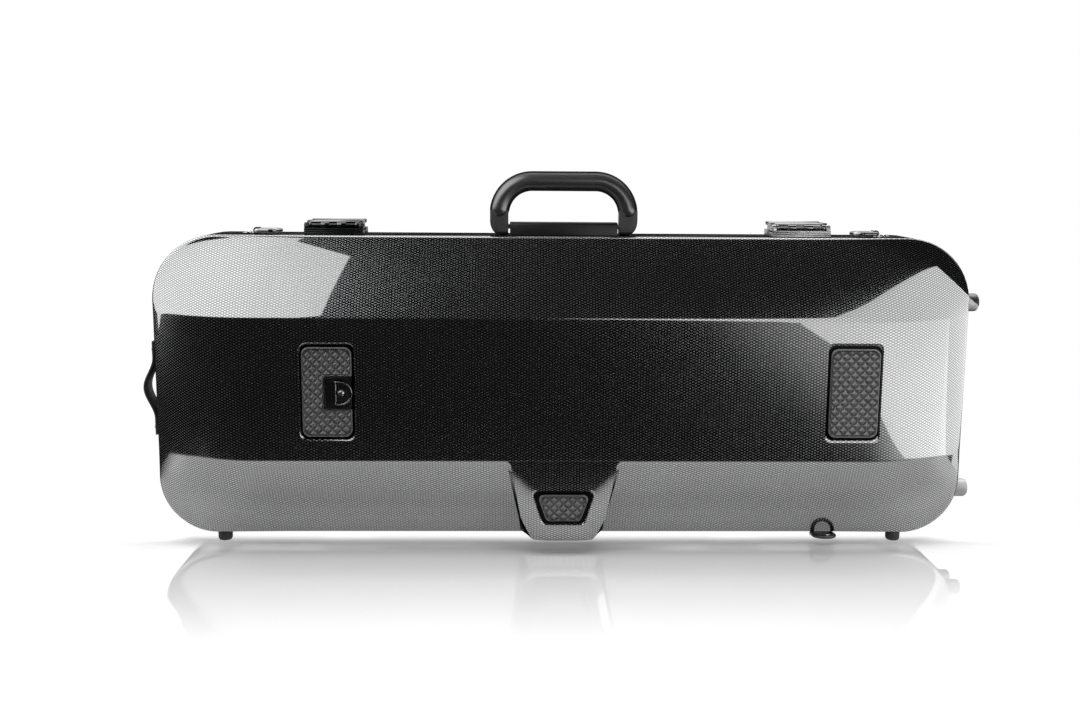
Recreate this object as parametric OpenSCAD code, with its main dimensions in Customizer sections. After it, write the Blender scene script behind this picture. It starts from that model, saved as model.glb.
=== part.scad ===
// Hard-shell oblong violin case, stood on its long hinged side with the handle up.
// X runs along the case, Y goes from the bottom shell to the lid, Z is up.
// The shells meet on one flat plane; the bottom shell faces -Y.

/* [Body] */
// Length of the closed shells
body_w = 785; // [770:1:800]
// Height of the shells as they stand
body_h = 291; // [286:1:296]
// Radius of the corners at the handle side
corner_top = 64; // [60:1:66]
// Radius of the corners at the spine
corner_low = 56; // [52:1:60]
// Gap between the shells and the ground, taken up by the feet
foot_h = 10.3; // [9.6:0.1:11]
// Depth of the straight wall of the bottom shell
base_wall = 30; // [29:0.5:32]
// How far the bottom shell bulges past its wall
base_crown = 48; // [46:1:50]
// Depth of the straight wall of the lid
lid_wall = 30; // [29:0.5:32]
// How far the lid bulges past its wall
lid_crown = 42; // [40:1:44]
// Height of the sloping band above the flat panel
upper_slope = 73; // [70:1:75]
// Height of the sloping band below the flat panel
lower_slope = 83; // [81:1:86]
// Length over which each end falls away
end_slope = 105; // [100:1:110]
// Thickness of a shell
shell_t = 4; // [3.5:0.1:4.5]

/* [Nose] */
// Half width of the raised nose where it leaves the flat panel
nose_top = 54; // [50:1:58]
// Half width of the nose near the ground
nose_low = 36; // [34:1:38]
// How far the flanks of the nose lean in
nose_flank = 4; // [3:0.5:5]
// How far the face of the nose leans back at its low end
nose_lean = 4; // [3:0.5:5]

/* [Pads] */
// Width of a side pad
pad_w = 46; // [44:1:48]
// Height of a side pad
pad_h = 84; // [82:1:86]
// Middle of the left pad
pad_left_x = -220; // [-222:1:-218]
// Middle of the right pad
pad_right_x = 270.5; // [268:0.5:272]
// Height of the middle of the side pads
pad_z = 159.3; // [158:0.1:161]
// Thickness of a pad
pad_t = 4; // [3.6:0.1:4.4]
// Depth of the shallow pocket under each pad
pocket_d = 1.6; // [1.4:0.1:1.8]
// Gap round a pad in its pocket
pocket_gap = 2; // [1.6:0.1:2.4]

/* [Handle] */
// Width of the handle over its legs
grip_w = 142.4; // [138:0.2:146]
// Height of the top of the grip above the shells
grip_rise = 61; // [60:0.5:64]
// Diameter of the grip
grip_d = 18.8; // [17:0.2:20]
// Half length of the bar that the handle hangs on
bar_half = 51.5; // [50:0.5:53]

/* [Latches] */
// Middle of the left latch
latch_left_x = -219.5; // [-222:0.5:-217]
// Middle of the right latch
latch_right_x = 228.5; // [226:0.5:231]
// Width of a latch
latch_w = 56; // [54:1:58]

/* [Strap rings] */
// Hinge line of the left top ring
ring_left_x = -293; // [-295:1:-291]
// Hinge line of the right top ring
ring_right_x = 301; // [299:1:303]
// Middle of the bottom ring
ring_low_x = 260; // [258:1:262]
// Length of a strap ring
ring_l = 24; // [23:0.5:25]
// Width of a strap ring
ring_w = 24; // [23:0.5:25]
// Diameter of the ring's bar
ring_d = 4; // [3.8:0.1:4.2]

/* [Ends] */
// Reach of the metal studs and of the end strap past the shells
end_reach = 12.1; // [11.5:0.1:12.7]
// Diameter of a stud
stud_d = 17.5; // [16.5:0.5:18.5]
// Width of the end strap
strap_w = 22; // [20:1:24]
// Thickness of the end strap
strap_t = 2.4; // [2.2:0.1:2.6]

/* [Inside] */
// Depth of the foam tray's main hollow
well_d = 42; // [40:0.5:43]
// Radius of the wide end of the hollow
bout_r = 105; // [102:1:106]
// Radius of the narrow end of the hollow
upper_r = 88; // [86:1:90]
// Half width of the neck channel
neck_half = 42; // [40:1:44]

/* [Hidden] */
eps = 0.01;
fit = 0.05;                                   // running clearance of pins
air = 0.3;                                    // clearance between parts that move past each other
mid_z = foot_h + body_h / 2;
top_z = foot_h + body_h;
low_z = foot_h;
seam = 1.8;                                   // thickness of each edge moulding
edge_e = 3.2;                                 // inset of the rounded front edge
edge_y = 1.2;                                 // and its depth past the wall
base_full = base_wall + base_crown;
lid_full = lid_wall + lid_crown;
pad_proud = pad_t - pocket_d;
boss_out = 1.4;                               // how far the pad ring's boss stands past the pad
near_y = base_full + pad_proud + boss_out;
shift_y = (near_y - lid_full) / 2;            // centres the whole object on Y
arc_n = 6;
band_low = -body_h / 2 + lower_slope;
band_high = body_h / 2 - upper_slope;

// heights above the middle of the shell grid's rows between its two rounded corners
mid_rows = [
  (band_low + corner_low - body_h / 2) / 2, band_low, 0, band_high,
  (band_high + body_h / 2 - corner_top) / 2
];
nr = 2 * (arc_n + 1) + len(mid_rows);
nc = 21;
ends = [0, 0.04, 0.12, 0.24, 0.42, 0.68, 1] * end_slope;
hinge_z = foot_h - 4.5;                       // height of the lid's hinge line
hinge_x = [-210, 0, 175];
foot_inset = 60;                              // from the end of the body to a foot's axis
foot_x = body_w / 2 - foot_inset;
foot_y = 19.5;

// ---------------------------------------------------------------- shell surface

// height above the middle of row i, on an outline inset by e
function row_v(i, e) =
  i <= arc_n ? -(body_h / 2 - corner_low) - (corner_low - e) * cos(90 * i / arc_n)
  : i >= nr - 1 - arc_n ? body_h / 2 - corner_top + (corner_top - e) * cos(90 * (nr - 1 - i) / arc_n)
  : mid_rows[i - arc_n - 1];

// half width of the rounded outline at height v
function half_w(v, e) =
  let(c = v < 0 ? corner_low : corner_top, r = c - e, a = abs(v) - (body_h / 2 - c))
  body_w / 2 - c + (a <= 0 ? r : sqrt(max(0, r * r - a * a)));

// half width of the nose at height v: it narrows downwards and more quickly at its tip
function nose_w(v) =
  let(t = (v + body_h / 2) / lower_slope, k = 17 / lower_slope)
  t >= 1 ? nose_top
  : t > k ? nose_low + (nose_top - nose_low) * (t - k) / (1 - k)
  : nose_low - 13 * (k - t) / k;

// place along X of column j in row i
function col_x(i, j, e) =
  let(v = row_v(i, e), w = half_w(v, e), n = nose_w(v))
  j < 7 ? -w + ends[j]
  : j > 13 ? w - ends[20 - j]
  : [-150, -n, -n + nose_flank, 0, n - nose_flank, n, 150][j - 7];

// how far the surface has risen, 0 at the outline and 1 on the flat panel
function rise(i, j, e) =
  let(v = row_v(i, e), w = half_w(v, e))
  let(tz = v < 0 ? (body_h / 2 - e + v) / (lower_slope - e) : (body_h / 2 - e - v) / (upper_slope - e))
  let(tx = (w - abs(col_x(i, j, e))) / end_slope)
  let(z1 = min(1, tz), x1 = min(1, tx))
  z1 * (1 + 0.15 * (1 - z1)) * (1 - pow(1 - x1, 2.2));

// the nose carries the flat panel on downwards, leaning back a little and rounded off at its tip
function nose_y(i, full) =
  i >= arc_n ? full : full - [36, 11, nose_lean * 1.27, nose_lean * 0.94, nose_lean * 0.61, nose_lean * 0.22][i];

// depth of grid point i, j between the depths y0 at the outline and full on the panel
function depth(i, j, e, y0, full, nose) =
  nose && i > 0 && i <= arc_n + 1 && j >= 9 && j <= 11 ? nose_y(i, full)
  : y0 + (full - y0) * rise(i, j, e);

function grid(e, y0, full, nose) = [
  for (i = [0:nr - 1], j = [0:nc - 1])
    [col_x(i, j, e), -depth(i, j, e, y0, full, nose), mid_z + row_v(i, e)]
];

// grid indices round the edge of the surface
perim = concat(
  [for (j = [0:nc - 1]) [0, j]], [for (i = [1:nr - 1]) [i, nc - 1]],
  [for (j = [nc - 2:-1:0]) [nr - 1, j]], [for (i = [nr - 2:-1:1]) [i, 0]]
);
np = len(perim);
function loop(e, y) = [for (q = perim) [col_x(q[0], q[1], e), -y, mid_z + row_v(q[0], e)]];
edge_ids = [for (q = perim) q[0] * nc + q[1]];
grid_faces = [
  for (i = [0:nr - 2], j = [0:nc - 2]) let(a = i * nc + j, d = a + nc)
    each [[a, d, d + 1], [a, d + 1, a + 1]]
];
function strip(p, q) = [
  for (k = [0:np - 1]) let(m = (k + 1) % np) each [[p[k], p[m], q[m]], [p[k], q[m], q[k]]]
];
function ids(start) = [for (k = [0:np - 1]) start + k];
function turned(faces, start) = [for (f = faces) [f[2] + start, f[1] + start, f[0] + start]];

// a dished skin: outer grid, walls, mouth and inner grid. outer and inner are each
// [inset of the grid, its depth at the outline, its depth on the panel]; walls is a list of
// [inset, depth] round the rim, from the outer grid over the mouth to the inner grid
module dish(outer, walls, inner, nose = false) {
  n = nr * nc;
  m = len(walls);
  pts = concat(
    grid(outer[0], outer[1], outer[2], nose),
    [for (w = walls) each loop(w[0], w[1])],
    grid(inner[0], inner[1], inner[2], nose)
  );
  last = n + m * np;
  polyhedron(pts, concat(
    grid_faces,
    strip(edge_ids, ids(n)),
    [for (k = [0:m - 2]) each strip(ids(n + k * np), ids(n + (k + 1) * np))],
    strip(ids(n + (m - 1) * np), [for (q = edge_ids) q + last]),
    turned(grid_faces, last)
  ));
}

// one shell of the case, open at its seam
module shell_half(wall, full, nose) {
  t = shell_t;
  dish(
    [edge_e, wall + edge_y, full],
    [[1, wall - 0.2], [0, wall - 2.4], [0, seam], [t, seam], [t, wall - t * 0.9]],
    [t + 1, wall - t * 0.7, full - t],
    nose
  );
}

// ---------------------------------------------------------------- helpers

// the rounded outline inset by e, with the same corner steps as the shells
function outline(e) = [
  for (q = [0:3], s = [0:arc_n])
    let(a = 90 * q + 90 * s / arc_n, c = q < 2 ? corner_top : corner_low)
    [(q == 0 || q == 3 ? 1 : -1) * (body_w / 2 - c) + (c - e) * cos(a),
     (q < 2 ? 1 : -1) * (body_h / 2 - c) + (c - e) * sin(a)]
];

// stands a flat outline up in the X-Z plane, between the depths y0 and y1
module stand(y0, y1) {
  translate([0, y1, 0]) rotate([90, 0, 0]) linear_extrude(y1 - y0) children();
}

module slab(e, y0, y1) {
  translate([0, 0, mid_z]) stand(y0, y1) polygon(outline(e));
}

// a polygon with its corners rounded to radius r
function rounded(p, r, n = 5) = [
  for (i = [0:len(p) - 1])
    let(b = p[i], a = p[(i + len(p) - 1) % len(p)] - b, c = p[(i + 1) % len(p)] - b)
    let(u = a / norm(a), w = c / norm(c), h = acos(u * w) / 2, m = (u + w) / norm(u + w))
    let(o = b + m * r / sin(h), side = u[0] * w[1] - u[1] * w[0] > 0 ? 1 : -1)
    let(start = atan2(-m[1], -m[0]))
    for (k = [0:n]) let(g = start + side * (90 - h) * (1 - 2 * k / n)) o + r * [cos(g), sin(g)]
];

module bar_x(x0, x1, y, z, r) {
  translate([x0, y, z]) rotate([0, 90, 0]) cylinder(h = x1 - x0, r = r, $fn = 48);
}

module bar_y(x, y0, y1, z, r) {
  translate([x, y0, z]) rotate([-90, 0, 0]) cylinder(h = y1 - y0, r = r, $fn = 48);
}

module box(x0, x1, y0, y1, z0, z1) {
  translate([x0, y0, z0]) cube([x1 - x0, y1 - y0, z1 - z0]);
}

// moves a node into the object's frame
module place() {
  translate([0, shift_y, 0]) children();
}

// ---------------------------------------------------------------- shells and rims

function side_pad(g) = [
  [-pad_w / 2 - g, -pad_h / 2 - g * 1.5], [pad_w / 2 + g, -pad_h / 2 - g * 1.5],
  [pad_w / 2 + g, pad_h / 2 + g * 1.5], [-pad_w / 2 - g, pad_h / 2 + g * 1.5]
];
nose_pad_z = low_z + 38;
function nose_pad(g) = [
  [-16 - g, -13 - g], [16 + g, -13 - g], [25 + g * 1.4, 13 + g], [-25 - g * 1.4, 13 + g]
];
nose_turn = atan(nose_lean * 0.75 / 33);
nose_face = base_full - nose_lean * 0.32;     // depth of the nose's face behind its pad

// runs a flat outline up from the nose's leaning face, between two heights above it
module on_nose(h0, h1) {
  translate([0, -nose_face, nose_pad_z]) rotate([-nose_turn, 0, 0]) stand(-h1, -h0) children();
}

module bottom_shell() {
  color([0.09, 0.10, 0.10]) place() difference() {
    shell_half(base_wall, base_full, true);
    for (x = [pad_left_x, pad_right_x])
      translate([x, 0, pad_z]) stand(-base_full - 5, -base_full + pocket_d)
        polygon(rounded(side_pad(pocket_gap), 3));
    on_nose(-pocket_d, 6) polygon(rounded(nose_pad(pocket_gap), 3));
  }
}

module bottom_rim() {
  color([0.05, 0.05, 0.05]) place() difference() {
    union() {
      slab(0, -seam, -0.15);
      slab(shell_t + 0.25, -9, 3.5);
    }
    slab(shell_t + 2.25, -20, 20);
  }
}

module lid_shell() {
  color([0.09, 0.10, 0.10]) place() mirror([0, 1, 0]) shell_half(lid_wall, lid_full, false);
}

module lid_rim() {
  color([0.05, 0.05, 0.05]) place() difference() {
    slab(0, 0.15, seam);
    slab(shell_t, -20, 20);
  }
}

// ---------------------------------------------------------------- feet, studs, hinges

module foot(x, y) {
  translate([x, y, 0]) {
    cylinder(h = 1.2, r1 = 6, r2 = 7, $fn = 64);
    translate([0, 0, 1.2]) cylinder(h = foot_h - 1.2, r = 7, $fn = 64);
  }
}

module base_feet() {
  color([0.06, 0.06, 0.06]) place() for (x = [-foot_x, foot_x]) foot(x, -foot_y);
}

module lid_feet() {
  color([0.06, 0.06, 0.06]) place() for (x = [-foot_x, foot_x]) foot(x, foot_y);
}

stud_z = [238.5 - foot_h, 52.5 - foot_h];

// two studs on the right-hand end, cut to sit on the curve of the wall
module studs(y) {
  for (h = stud_z) difference() {
    union() {
      bar_x(body_w / 2 - 8, body_w / 2 + end_reach - 1.5, y, low_z + h, stud_d / 2);
      translate([body_w / 2 + end_reach - 1.5, y, low_z + h]) rotate([0, 90, 0])
        cylinder(h = 1.5, r1 = stud_d / 2, r2 = stud_d / 2 - 1.5, $fn = 48);
    }
    slab(0, -60, 60);
  }
}

module base_end_studs() {
  color([0.66, 0.67, 0.68]) place() studs(-15);
}

module lid_end_studs() {
  color([0.66, 0.67, 0.68]) place() studs(15);
}

leaf_w = 50;
barrel_r = 3;
hinge_pin_r = 1.5;

module hinge_base_leaves() {
  color([0.55, 0.56, 0.57]) place() for (x = hinge_x) difference() {
    union() {
      box(x - leaf_w / 2, x + leaf_w / 2, -22, -2.8, low_z - 1.2, low_z);
      for (s = [-1, 1]) {
        bar_x(x + s * 17 - 8, x + s * 17 + 8, 0, hinge_z, barrel_r);
        box(x + s * 17 - 8, x + s * 17 + 8, -4.2, -1.4, hinge_z + 1, low_z - 0.6);
      }
    }
    bar_x(x - 30, x + 30, 0, hinge_z, hinge_pin_r);
  }
}

module hinge_pins() {
  color([0.7, 0.7, 0.7]) place() for (x = hinge_x) bar_x(x - 25.5, x + 25.5, 0, hinge_z, hinge_pin_r);
}

module hinge_lid_leaves() {
  color([0.55, 0.56, 0.57]) place() for (x = hinge_x) difference() {
    union() {
      box(x - leaf_w / 2, x + leaf_w / 2, 2.8, 22, low_z - 1.2, low_z);
      bar_x(x - 9 + air, x + 9 - air, 0, hinge_z, barrel_r);
      box(x - 9 + air, x + 9 - air, 1.4, 4.2, hinge_z + 1, low_z - 0.6);
    }
    bar_x(x - 30, x + 30, 0, hinge_z, hinge_pin_r + fit);
  }
}

// ---------------------------------------------------------------- pads and the ring on the left pad

module side_pad_block(x) {
  translate([x, 0, pad_z]) stand(-base_full - pad_proud, -base_full + pocket_d)
    polygon(rounded(side_pad(0), 3));
}

// the ring's cup is let into the right-hand edge of the left pad
cup_z0 = pad_z - 16;
cup_z1 = pad_z + 15;
cup_x0 = pad_left_x - 3;
cup_x1 = pad_left_x + pad_w / 2;
cup_y = base_full - 0.4;                      // depth of the cup's floor
pad_ring_x = pad_left_x + 7.5;
pad_ring_z = pad_z - 0.7;

module pad_left() {
  color([0.22, 0.22, 0.22]) place() difference() {
    side_pad_block(pad_left_x);
    box(cup_x0, cup_x1 + 9, -base_full - 9, -base_full + 9, cup_z0, cup_z1);
  }
}

module pad_right() {
  color([0.22, 0.22, 0.22]) place() side_pad_block(pad_right_x);
}

module pad_nose() {
  color([0.22, 0.22, 0.22]) place() on_nose(-pocket_d, pad_proud) polygon(rounded(nose_pad(0), 3));
}

module pad_ring_cup() {
  color([0.08, 0.08, 0.08]) place() difference() {
    box(cup_x0 + air, cup_x1 - 0.5, -base_full - pad_proud + 0.3, -base_full + pocket_d,
      cup_z0 + air, cup_z1 - air);
    box(cup_x0 + 1.5, cup_x1 + 9, -base_full - 9, -cup_y + 0.1, cup_z0 + 1.7, cup_z1 - 1.7);
  }
}

// a folded metal clip that holds the ring's straight bar
module pad_ring_clip() {
  color([0.5, 0.5, 0.5]) place() difference() {
    union() {
      box(cup_x0 + 2.5, pad_ring_x - 0.2, -cup_y - 0.7, -cup_y + 0.1, pad_ring_z - 8, pad_ring_z + 8);
      translate([pad_ring_x, -cup_y - 1.5, pad_ring_z - 8]) cylinder(h = 16, r = 1.5, $fn = 32);
    }
    translate([pad_ring_x, -cup_y - 1.5, pad_ring_z - 10]) cylinder(h = 20, r = 0.8 + fit, $fn = 32);
    box(pad_ring_x - 5, pad_ring_x + 5, -cup_y + 0.1, -cup_y + 3, pad_ring_z - 20, pad_ring_z + 20);
  }
}

// the ring lies flat in the cup, and turns on its straight bar
module pad_ring() {
  color([0.75, 0.75, 0.75]) place() translate([pad_ring_x, -cup_y - 1.5, pad_ring_z]) rotate([90, 0, 0])
    bent_ring(23, 16, 1.6, 1.5);
}

module pad_ring_boss() {
  color([0.8, 0.8, 0.8]) place()
  translate([pad_ring_x + 5.6, -cup_y + 0.1, pad_ring_z]) rotate([90, 0, 0]) {
    cylinder(h = 2.6, r = 3, $fn = 48);
    translate([0, 0, 2.6]) cylinder(h = near_y - cup_y - 2.5, r1 = 3, r2 = 1.6, $fn = 48);
  }
}

// ---------------------------------------------------------------- handle

pivot_y = -12;
pivot_z = top_z + 8.6;
leg_x = grip_w / 2 - grip_d / 2;              // middle line of each leg
bend_r = 31.5;                                  // radius of the grip's middle line at the bends
grip_z = top_z + grip_rise - grip_d / 2;
tube_end = grip_z - bend_r;                   // the round part of a leg ends where its bend does

module handle_bar() {
  color([0.07, 0.07, 0.07]) place() difference() {
    translate([-bar_half, pivot_y, top_z]) rotate([0, 90, 0]) linear_extrude(2 * bar_half)
      polygon(rounded([[0, -9], [0, 9], [-12.7, 7.5], [-12.7, -7.5]], 2.5));
    bar_x(-bar_half - 5, -bar_half + 14, pivot_y, pivot_z, 2.5);
    bar_x(bar_half - 14, bar_half + 5, pivot_y, pivot_z, 2.5);
  }
}

module handle_pins() {
  color([0.4, 0.4, 0.4]) place() {
    bar_x(-leg_x + 4, -bar_half + 14, pivot_y, pivot_z, 2.5);
    bar_x(bar_half - 14, leg_x - 4, pivot_y, pivot_z, 2.5);
  }
}

// the flat foot of a leg, wide at the top and rounded round the pivot pin
tab_in = bar_half + 1.6;
module tab() {
  out = leg_x + grip_d / 2 - 0.6;
  head = tube_end + 4;
  foot = top_z + 0.4;
  difference() {
    intersection() {
      translate([0, pivot_y, 0]) stand(-6.4, 6.4) polygon(concat(
        [[tab_in, head], [out, head]],
        [for (a = [0:10:90]) [out - 9.7 * (1 - cos(a)), foot + 14 * (1 - sin(a))]],
        [[tab_in + 1, foot], [tab_in, foot + 1]]
      ));
      union() {
        bar_x(tab_in - 1, out + 1, pivot_y, pivot_z, pivot_z - foot);
        box(tab_in - 1, out + 1, pivot_y - 9, pivot_y + 9, pivot_z, head + 1);
      }
    }
    bar_x(0, 200, pivot_y, pivot_z, 2.5 + fit);
  }
}

// one leg with its bend and flat foot
module leg() {
  translate([leg_x - bend_r, pivot_y, grip_z - bend_r]) rotate([90, 0, 0])
    rotate_extrude(angle = 90, $fn = 96) translate([bend_r, 0]) circle(r = grip_d / 2, $fn = 48);
  translate([leg_x, pivot_y, tube_end - 4.5])
    cylinder(h = 4.5, r1 = grip_d / 2 - 3.4, r2 = grip_d / 2, $fn = 48);
  tab();
}

module handle_grip() {
  color([0.07, 0.07, 0.07]) place() {
    bar_x(-leg_x + bend_r, leg_x - bend_r, pivot_y, grip_z, grip_d / 2);
    leg();
    translate([0, 2 * pivot_y, 0]) rotate([0, 0, 180]) leg();
  }
}

// ---------------------------------------------------------------- latches

latch_y = -22;                                // near face of a latch
lever_y = latch_y + 6.5;
lever_z = top_z + 8.9;
lever_pin_r = 1.5;
ear_t = 4;                                    // thickness of the ears that hold the pin
ear_x = latch_w / 2 - ear_t / 2;

// the grooved block and the two ears that carry the lever's pin
module latch_base(x) {
  difference() {
    union() {
      box(x - latch_w / 2, x + latch_w / 2, latch_y, -2, top_z, top_z + 6);
      for (s = [-1, 1]) {
        box(x + s * ear_x - ear_t / 2, x + s * ear_x + ear_t / 2, latch_y + 2, -2, top_z, lever_z);
        bar_x(x + s * ear_x - ear_t / 2, x + s * ear_x + ear_t / 2, lever_y, lever_z, 2.6);
      }
    }
    for (h = [1.8, 3.8])
      box(x - latch_w, x + latch_w, latch_y - 1, latch_y + 0.8, top_z + h, top_z + h + 0.9);
    bar_x(x - latch_w, x + latch_w, lever_y, lever_z, lever_pin_r);
  }
}

module latch_pin(x) {
  bar_x(x - latch_w / 2 - 0.6, x + latch_w / 2 + 0.6, lever_y, lever_z, lever_pin_r);
}

lever_half = latch_w / 2 - ear_t - air;

// the lever: a barrel on the pin, a plate over the top with raised lips, and a tab down the far side
module latch_lever(x) {
  wide = latch_w / 2 - 1.5;
  difference() {
    union() {
      bar_x(x - lever_half, x + lever_half, lever_y, lever_z, 2.7);
      box(x - lever_half, x + lever_half, lever_y, lever_y + 4, lever_z + 1, lever_z + 3.4);
      box(x - wide, x + wide, lever_y + 3.2, 21.6, lever_z + 1, lever_z + 3.4);
      box(x - lever_half, x + lever_half, 19.2, 21.6, top_z + 1.4, lever_z + 1.5);
      box(x - wide, x + wide, 19.6, 22, lever_z + 2, lever_z + 4.6);
      for (s = [-1, 1])
        box(x + s * (wide - 1.2) - 1.2, x + s * (wide - 1.2) + 1.2, lever_y + 4, 20,
          lever_z + 2, lever_z + 4.2);
    }
    bar_x(x - 90, x + 90, lever_y, lever_z, lever_pin_r + fit);
  }
}

// the catch on the lid that the lever's tab comes down behind
module latch_keeper(x) {
  difference() {
    box(x - latch_w / 2, x + latch_w / 2, 2, 18.9, top_z, lever_z + 0.7);
    box(x - latch_w / 2 - 1, x - lever_half - 1.5, 4, 30, top_z + 6, top_z + 20);
    box(x + lever_half + 1.5, x + latch_w / 2 + 1, 4, 30, top_z + 6, top_z + 20);
  }
}

dark_metal = [0.30, 0.30, 0.31];
bright_metal = [0.72, 0.71, 0.69];
module latch_base_left() { color(dark_metal) place() latch_base(latch_left_x); }
module latch_base_right() { color(bright_metal) place() latch_base(latch_right_x); }
module latch_pin_left() { color(bright_metal) place() latch_pin(latch_left_x); }
module latch_pin_right() { color(bright_metal) place() latch_pin(latch_right_x); }
module latch_lever_left() { color(dark_metal) place() latch_lever(latch_left_x); }
module latch_lever_right() { color(bright_metal) place() latch_lever(latch_right_x); }
module latch_keeper_left() { color(dark_metal) place() latch_keeper(latch_left_x); }
module latch_keeper_right() { color(bright_metal) place() latch_keeper(latch_right_x); }

// ---------------------------------------------------------------- strap rings

// A lug lies on the ground plane of its own: plate towards -X, knuckle at the origin, ring towards +X.
lug_y = -13;
knuckle_z = ring_d / 2 + 1.5;                 // hinge line above the surface
module lug() {
  difference() {
    union() {
      box(-13, -1, -8, 8, 0, 1.5);
      bar_y(0, -5, 5, knuckle_z, ring_d / 2 + 1.3);
      box(-3, 2, -5, 5, 0, knuckle_z);
    }
    bar_y(0, -20, 20, knuckle_z, ring_d / 2 + fit);
  }
}

module lug_screw() {
  translate([-8.5, 0, 1.5]) {
    cylinder(h = 0.8, r = 3, $fn = 48);
    translate([0, 0, 0.8]) cylinder(h = 0.7, r1 = 3, r2 = 1.8, $fn = 48);
  }
}

// a D-ring of round bar: straight bar on the Y axis, two tight bends, two arms, a half-round bow
module bent_ring(w, l, d, b) {
  r = w / 2 - d / 2;
  arm = l - w / 2;
  bar_y(0, -r + b, r - b, 0, d / 2);
  for (s = [0, 1]) {
    translate([b, (1 - 2 * s) * (r - b), 0]) rotate([0, 0, 90 + 90 * s])
      rotate_extrude(angle = 90, $fn = 64) translate([b, 0]) circle(r = d / 2, $fn = 32);
    if (arm > b)
      translate([b, (1 - 2 * s) * r, 0]) rotate([0, 90, 0]) cylinder(h = arm - b, r = d / 2, $fn = 32);
  }
  translate([arm, 0, 0]) rotate([0, 0, -90])
    rotate_extrude(angle = 180, $fn = 96) translate([r, 0]) circle(r = d / 2, $fn = 32);
}

module d_ring() {
  translate([0, 0, knuckle_z]) bent_ring(ring_w, ring_l, ring_d, ring_d * 0.75);
}

module at_top_left() { translate([ring_left_x, lug_y, top_z]) children(); }
module at_top_right() { translate([ring_right_x, lug_y, top_z]) rotate([0, 0, 180]) children(); }
// the bottom lug is turned so that its ring points towards -Y, and hangs under the spine
ring_lift = 6;                                // the bottom ring's bow lies this much above level
module at_bottom() {
  translate([ring_low_x, -20, low_z]) rotate([180, 0, 0]) rotate([0, 0, 90]) children();
}

module lug_top_left() { color(bright_metal) place() at_top_left() lug(); }
module lug_top_right() { color(bright_metal) place() at_top_right() lug(); }
module lug_bottom() { color([0.12, 0.12, 0.12]) place() at_bottom() lug(); }
module lug_screws() {
  color([0.8, 0.8, 0.8]) place() {
    at_top_left() lug_screw();
    at_top_right() lug_screw();
    at_bottom() lug_screw();
  }
}
module ring_top_left() { color([0.1, 0.1, 0.1]) place() at_top_left() d_ring(); }
module ring_top_right() { color([0.1, 0.1, 0.1]) place() at_top_right() d_ring(); }
module ring_bottom() {
  color([0.1, 0.1, 0.1]) place() at_bottom()
    translate([0, 0, knuckle_z]) rotate([0, ring_lift, 0]) translate([0, 0, -knuckle_z]) d_ring();
}

// ---------------------------------------------------------------- end strap

strap_mid = 153;                              // height of the strap's middle
strap_half = 30;                              // half length of its free arch
strap_end = 16;                               // length of each end that lies on the wall
strap_y = -16;

// height of the arch above the wall at distance s from its middle
function arch(s) = (end_reach - strap_t) * (1 + cos(180 * s / strap_half)) / 2;

module end_strap() {
  color([0.07, 0.07, 0.08]) place() translate([0, strap_y, 0]) stand(-strap_w / 2, strap_w / 2) {
    wall = -body_w / 2;
    polygon(concat(
      [[wall, strap_mid - strap_half - strap_end]],
      [for (k = [-10:10]) [wall - arch(strap_half * k / 10), strap_mid + strap_half * k / 10]],
      [[wall, strap_mid + strap_half + strap_end], [wall - strap_t, strap_mid + strap_half + strap_end]],
      [for (k = [10:-1:-10]) [wall - arch(strap_half * k / 10) - strap_t, strap_mid + strap_half * k / 10]],
      [[wall - strap_t, strap_mid - strap_half - strap_end]]
    ));
  }
}

module end_strap_rivets() {
  color([0.6, 0.6, 0.6]) place() for (s = [-1, 1], y = [-6, 6])
    translate([-body_w / 2 - strap_t, strap_y + y, strap_mid + s * (strap_half + strap_end / 2)])
      rotate([0, -90, 0]) cylinder(h = 1.2, r1 = 3, r2 = 2, $fn = 32);
}

// ---------------------------------------------------------------- inside of the bottom shell

tray_top = 2.6;                               // the tray's rim lies this far below the seam
tray_e = shell_t + 2.6;
tray_t = 3.6;                                 // wall of the tray's hollows
wide_x = body_w / 2 - 52 - bout_r;          // middle of the wide end of the hollow
narrow_x = wide_x - 165;
scroll_x = narrow_x - 285;
pocket_v = band_low + 60;                     // half height of the end pocket
box_v0 = body_h / 2 - 101.5;                  // inner and outer edge of the side pockets
box_v1 = body_h / 2 - 43.5;
box_x0 = narrow_x - 270;
box_x1 = narrow_x - 100;

// outline of the instrument's hollow, smaller by g
module hollow_2d(g) {
  translate([wide_x, 0]) circle(r = bout_r - g, $fn = 96);
  translate([narrow_x, 0]) circle(r = upper_r - g, $fn = 96);
  translate([narrow_x, -72 + g]) square([wide_x - narrow_x, 144 - 2 * g]);
}

// the tray's hollows: each is a flat outline, cut to the depth d and grown by g
module hollows(g) {
  translate([0, 0, mid_z]) {
    stand(-well_d - g, 5) hollow_2d(-g);
    stand(-well_d - 18 - g, 5) hollow_2d(34 - g);
    stand(-well_d + 6 - g, 5) translate([scroll_x, -neck_half - g])
      square([narrow_x - scroll_x, 2 * neck_half + 2 * g]);
    stand(-well_d - 8 - g, 5) translate([scroll_x, 0]) circle(r = 46 + g, $fn = 96);
    stand(-34 - g, 5) translate([-body_w / 2 + 40 - g, -74 - g]) square([62 + 2 * g, 148 + 2 * g]);
    for (v = [box_v0, -box_v1])
      stand(-34 - g, 5) translate([box_x0 - g, v - g])
        square([box_x1 - box_x0 + 2 * g, box_v1 - box_v0 + 2 * g]);
  }
}

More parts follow.
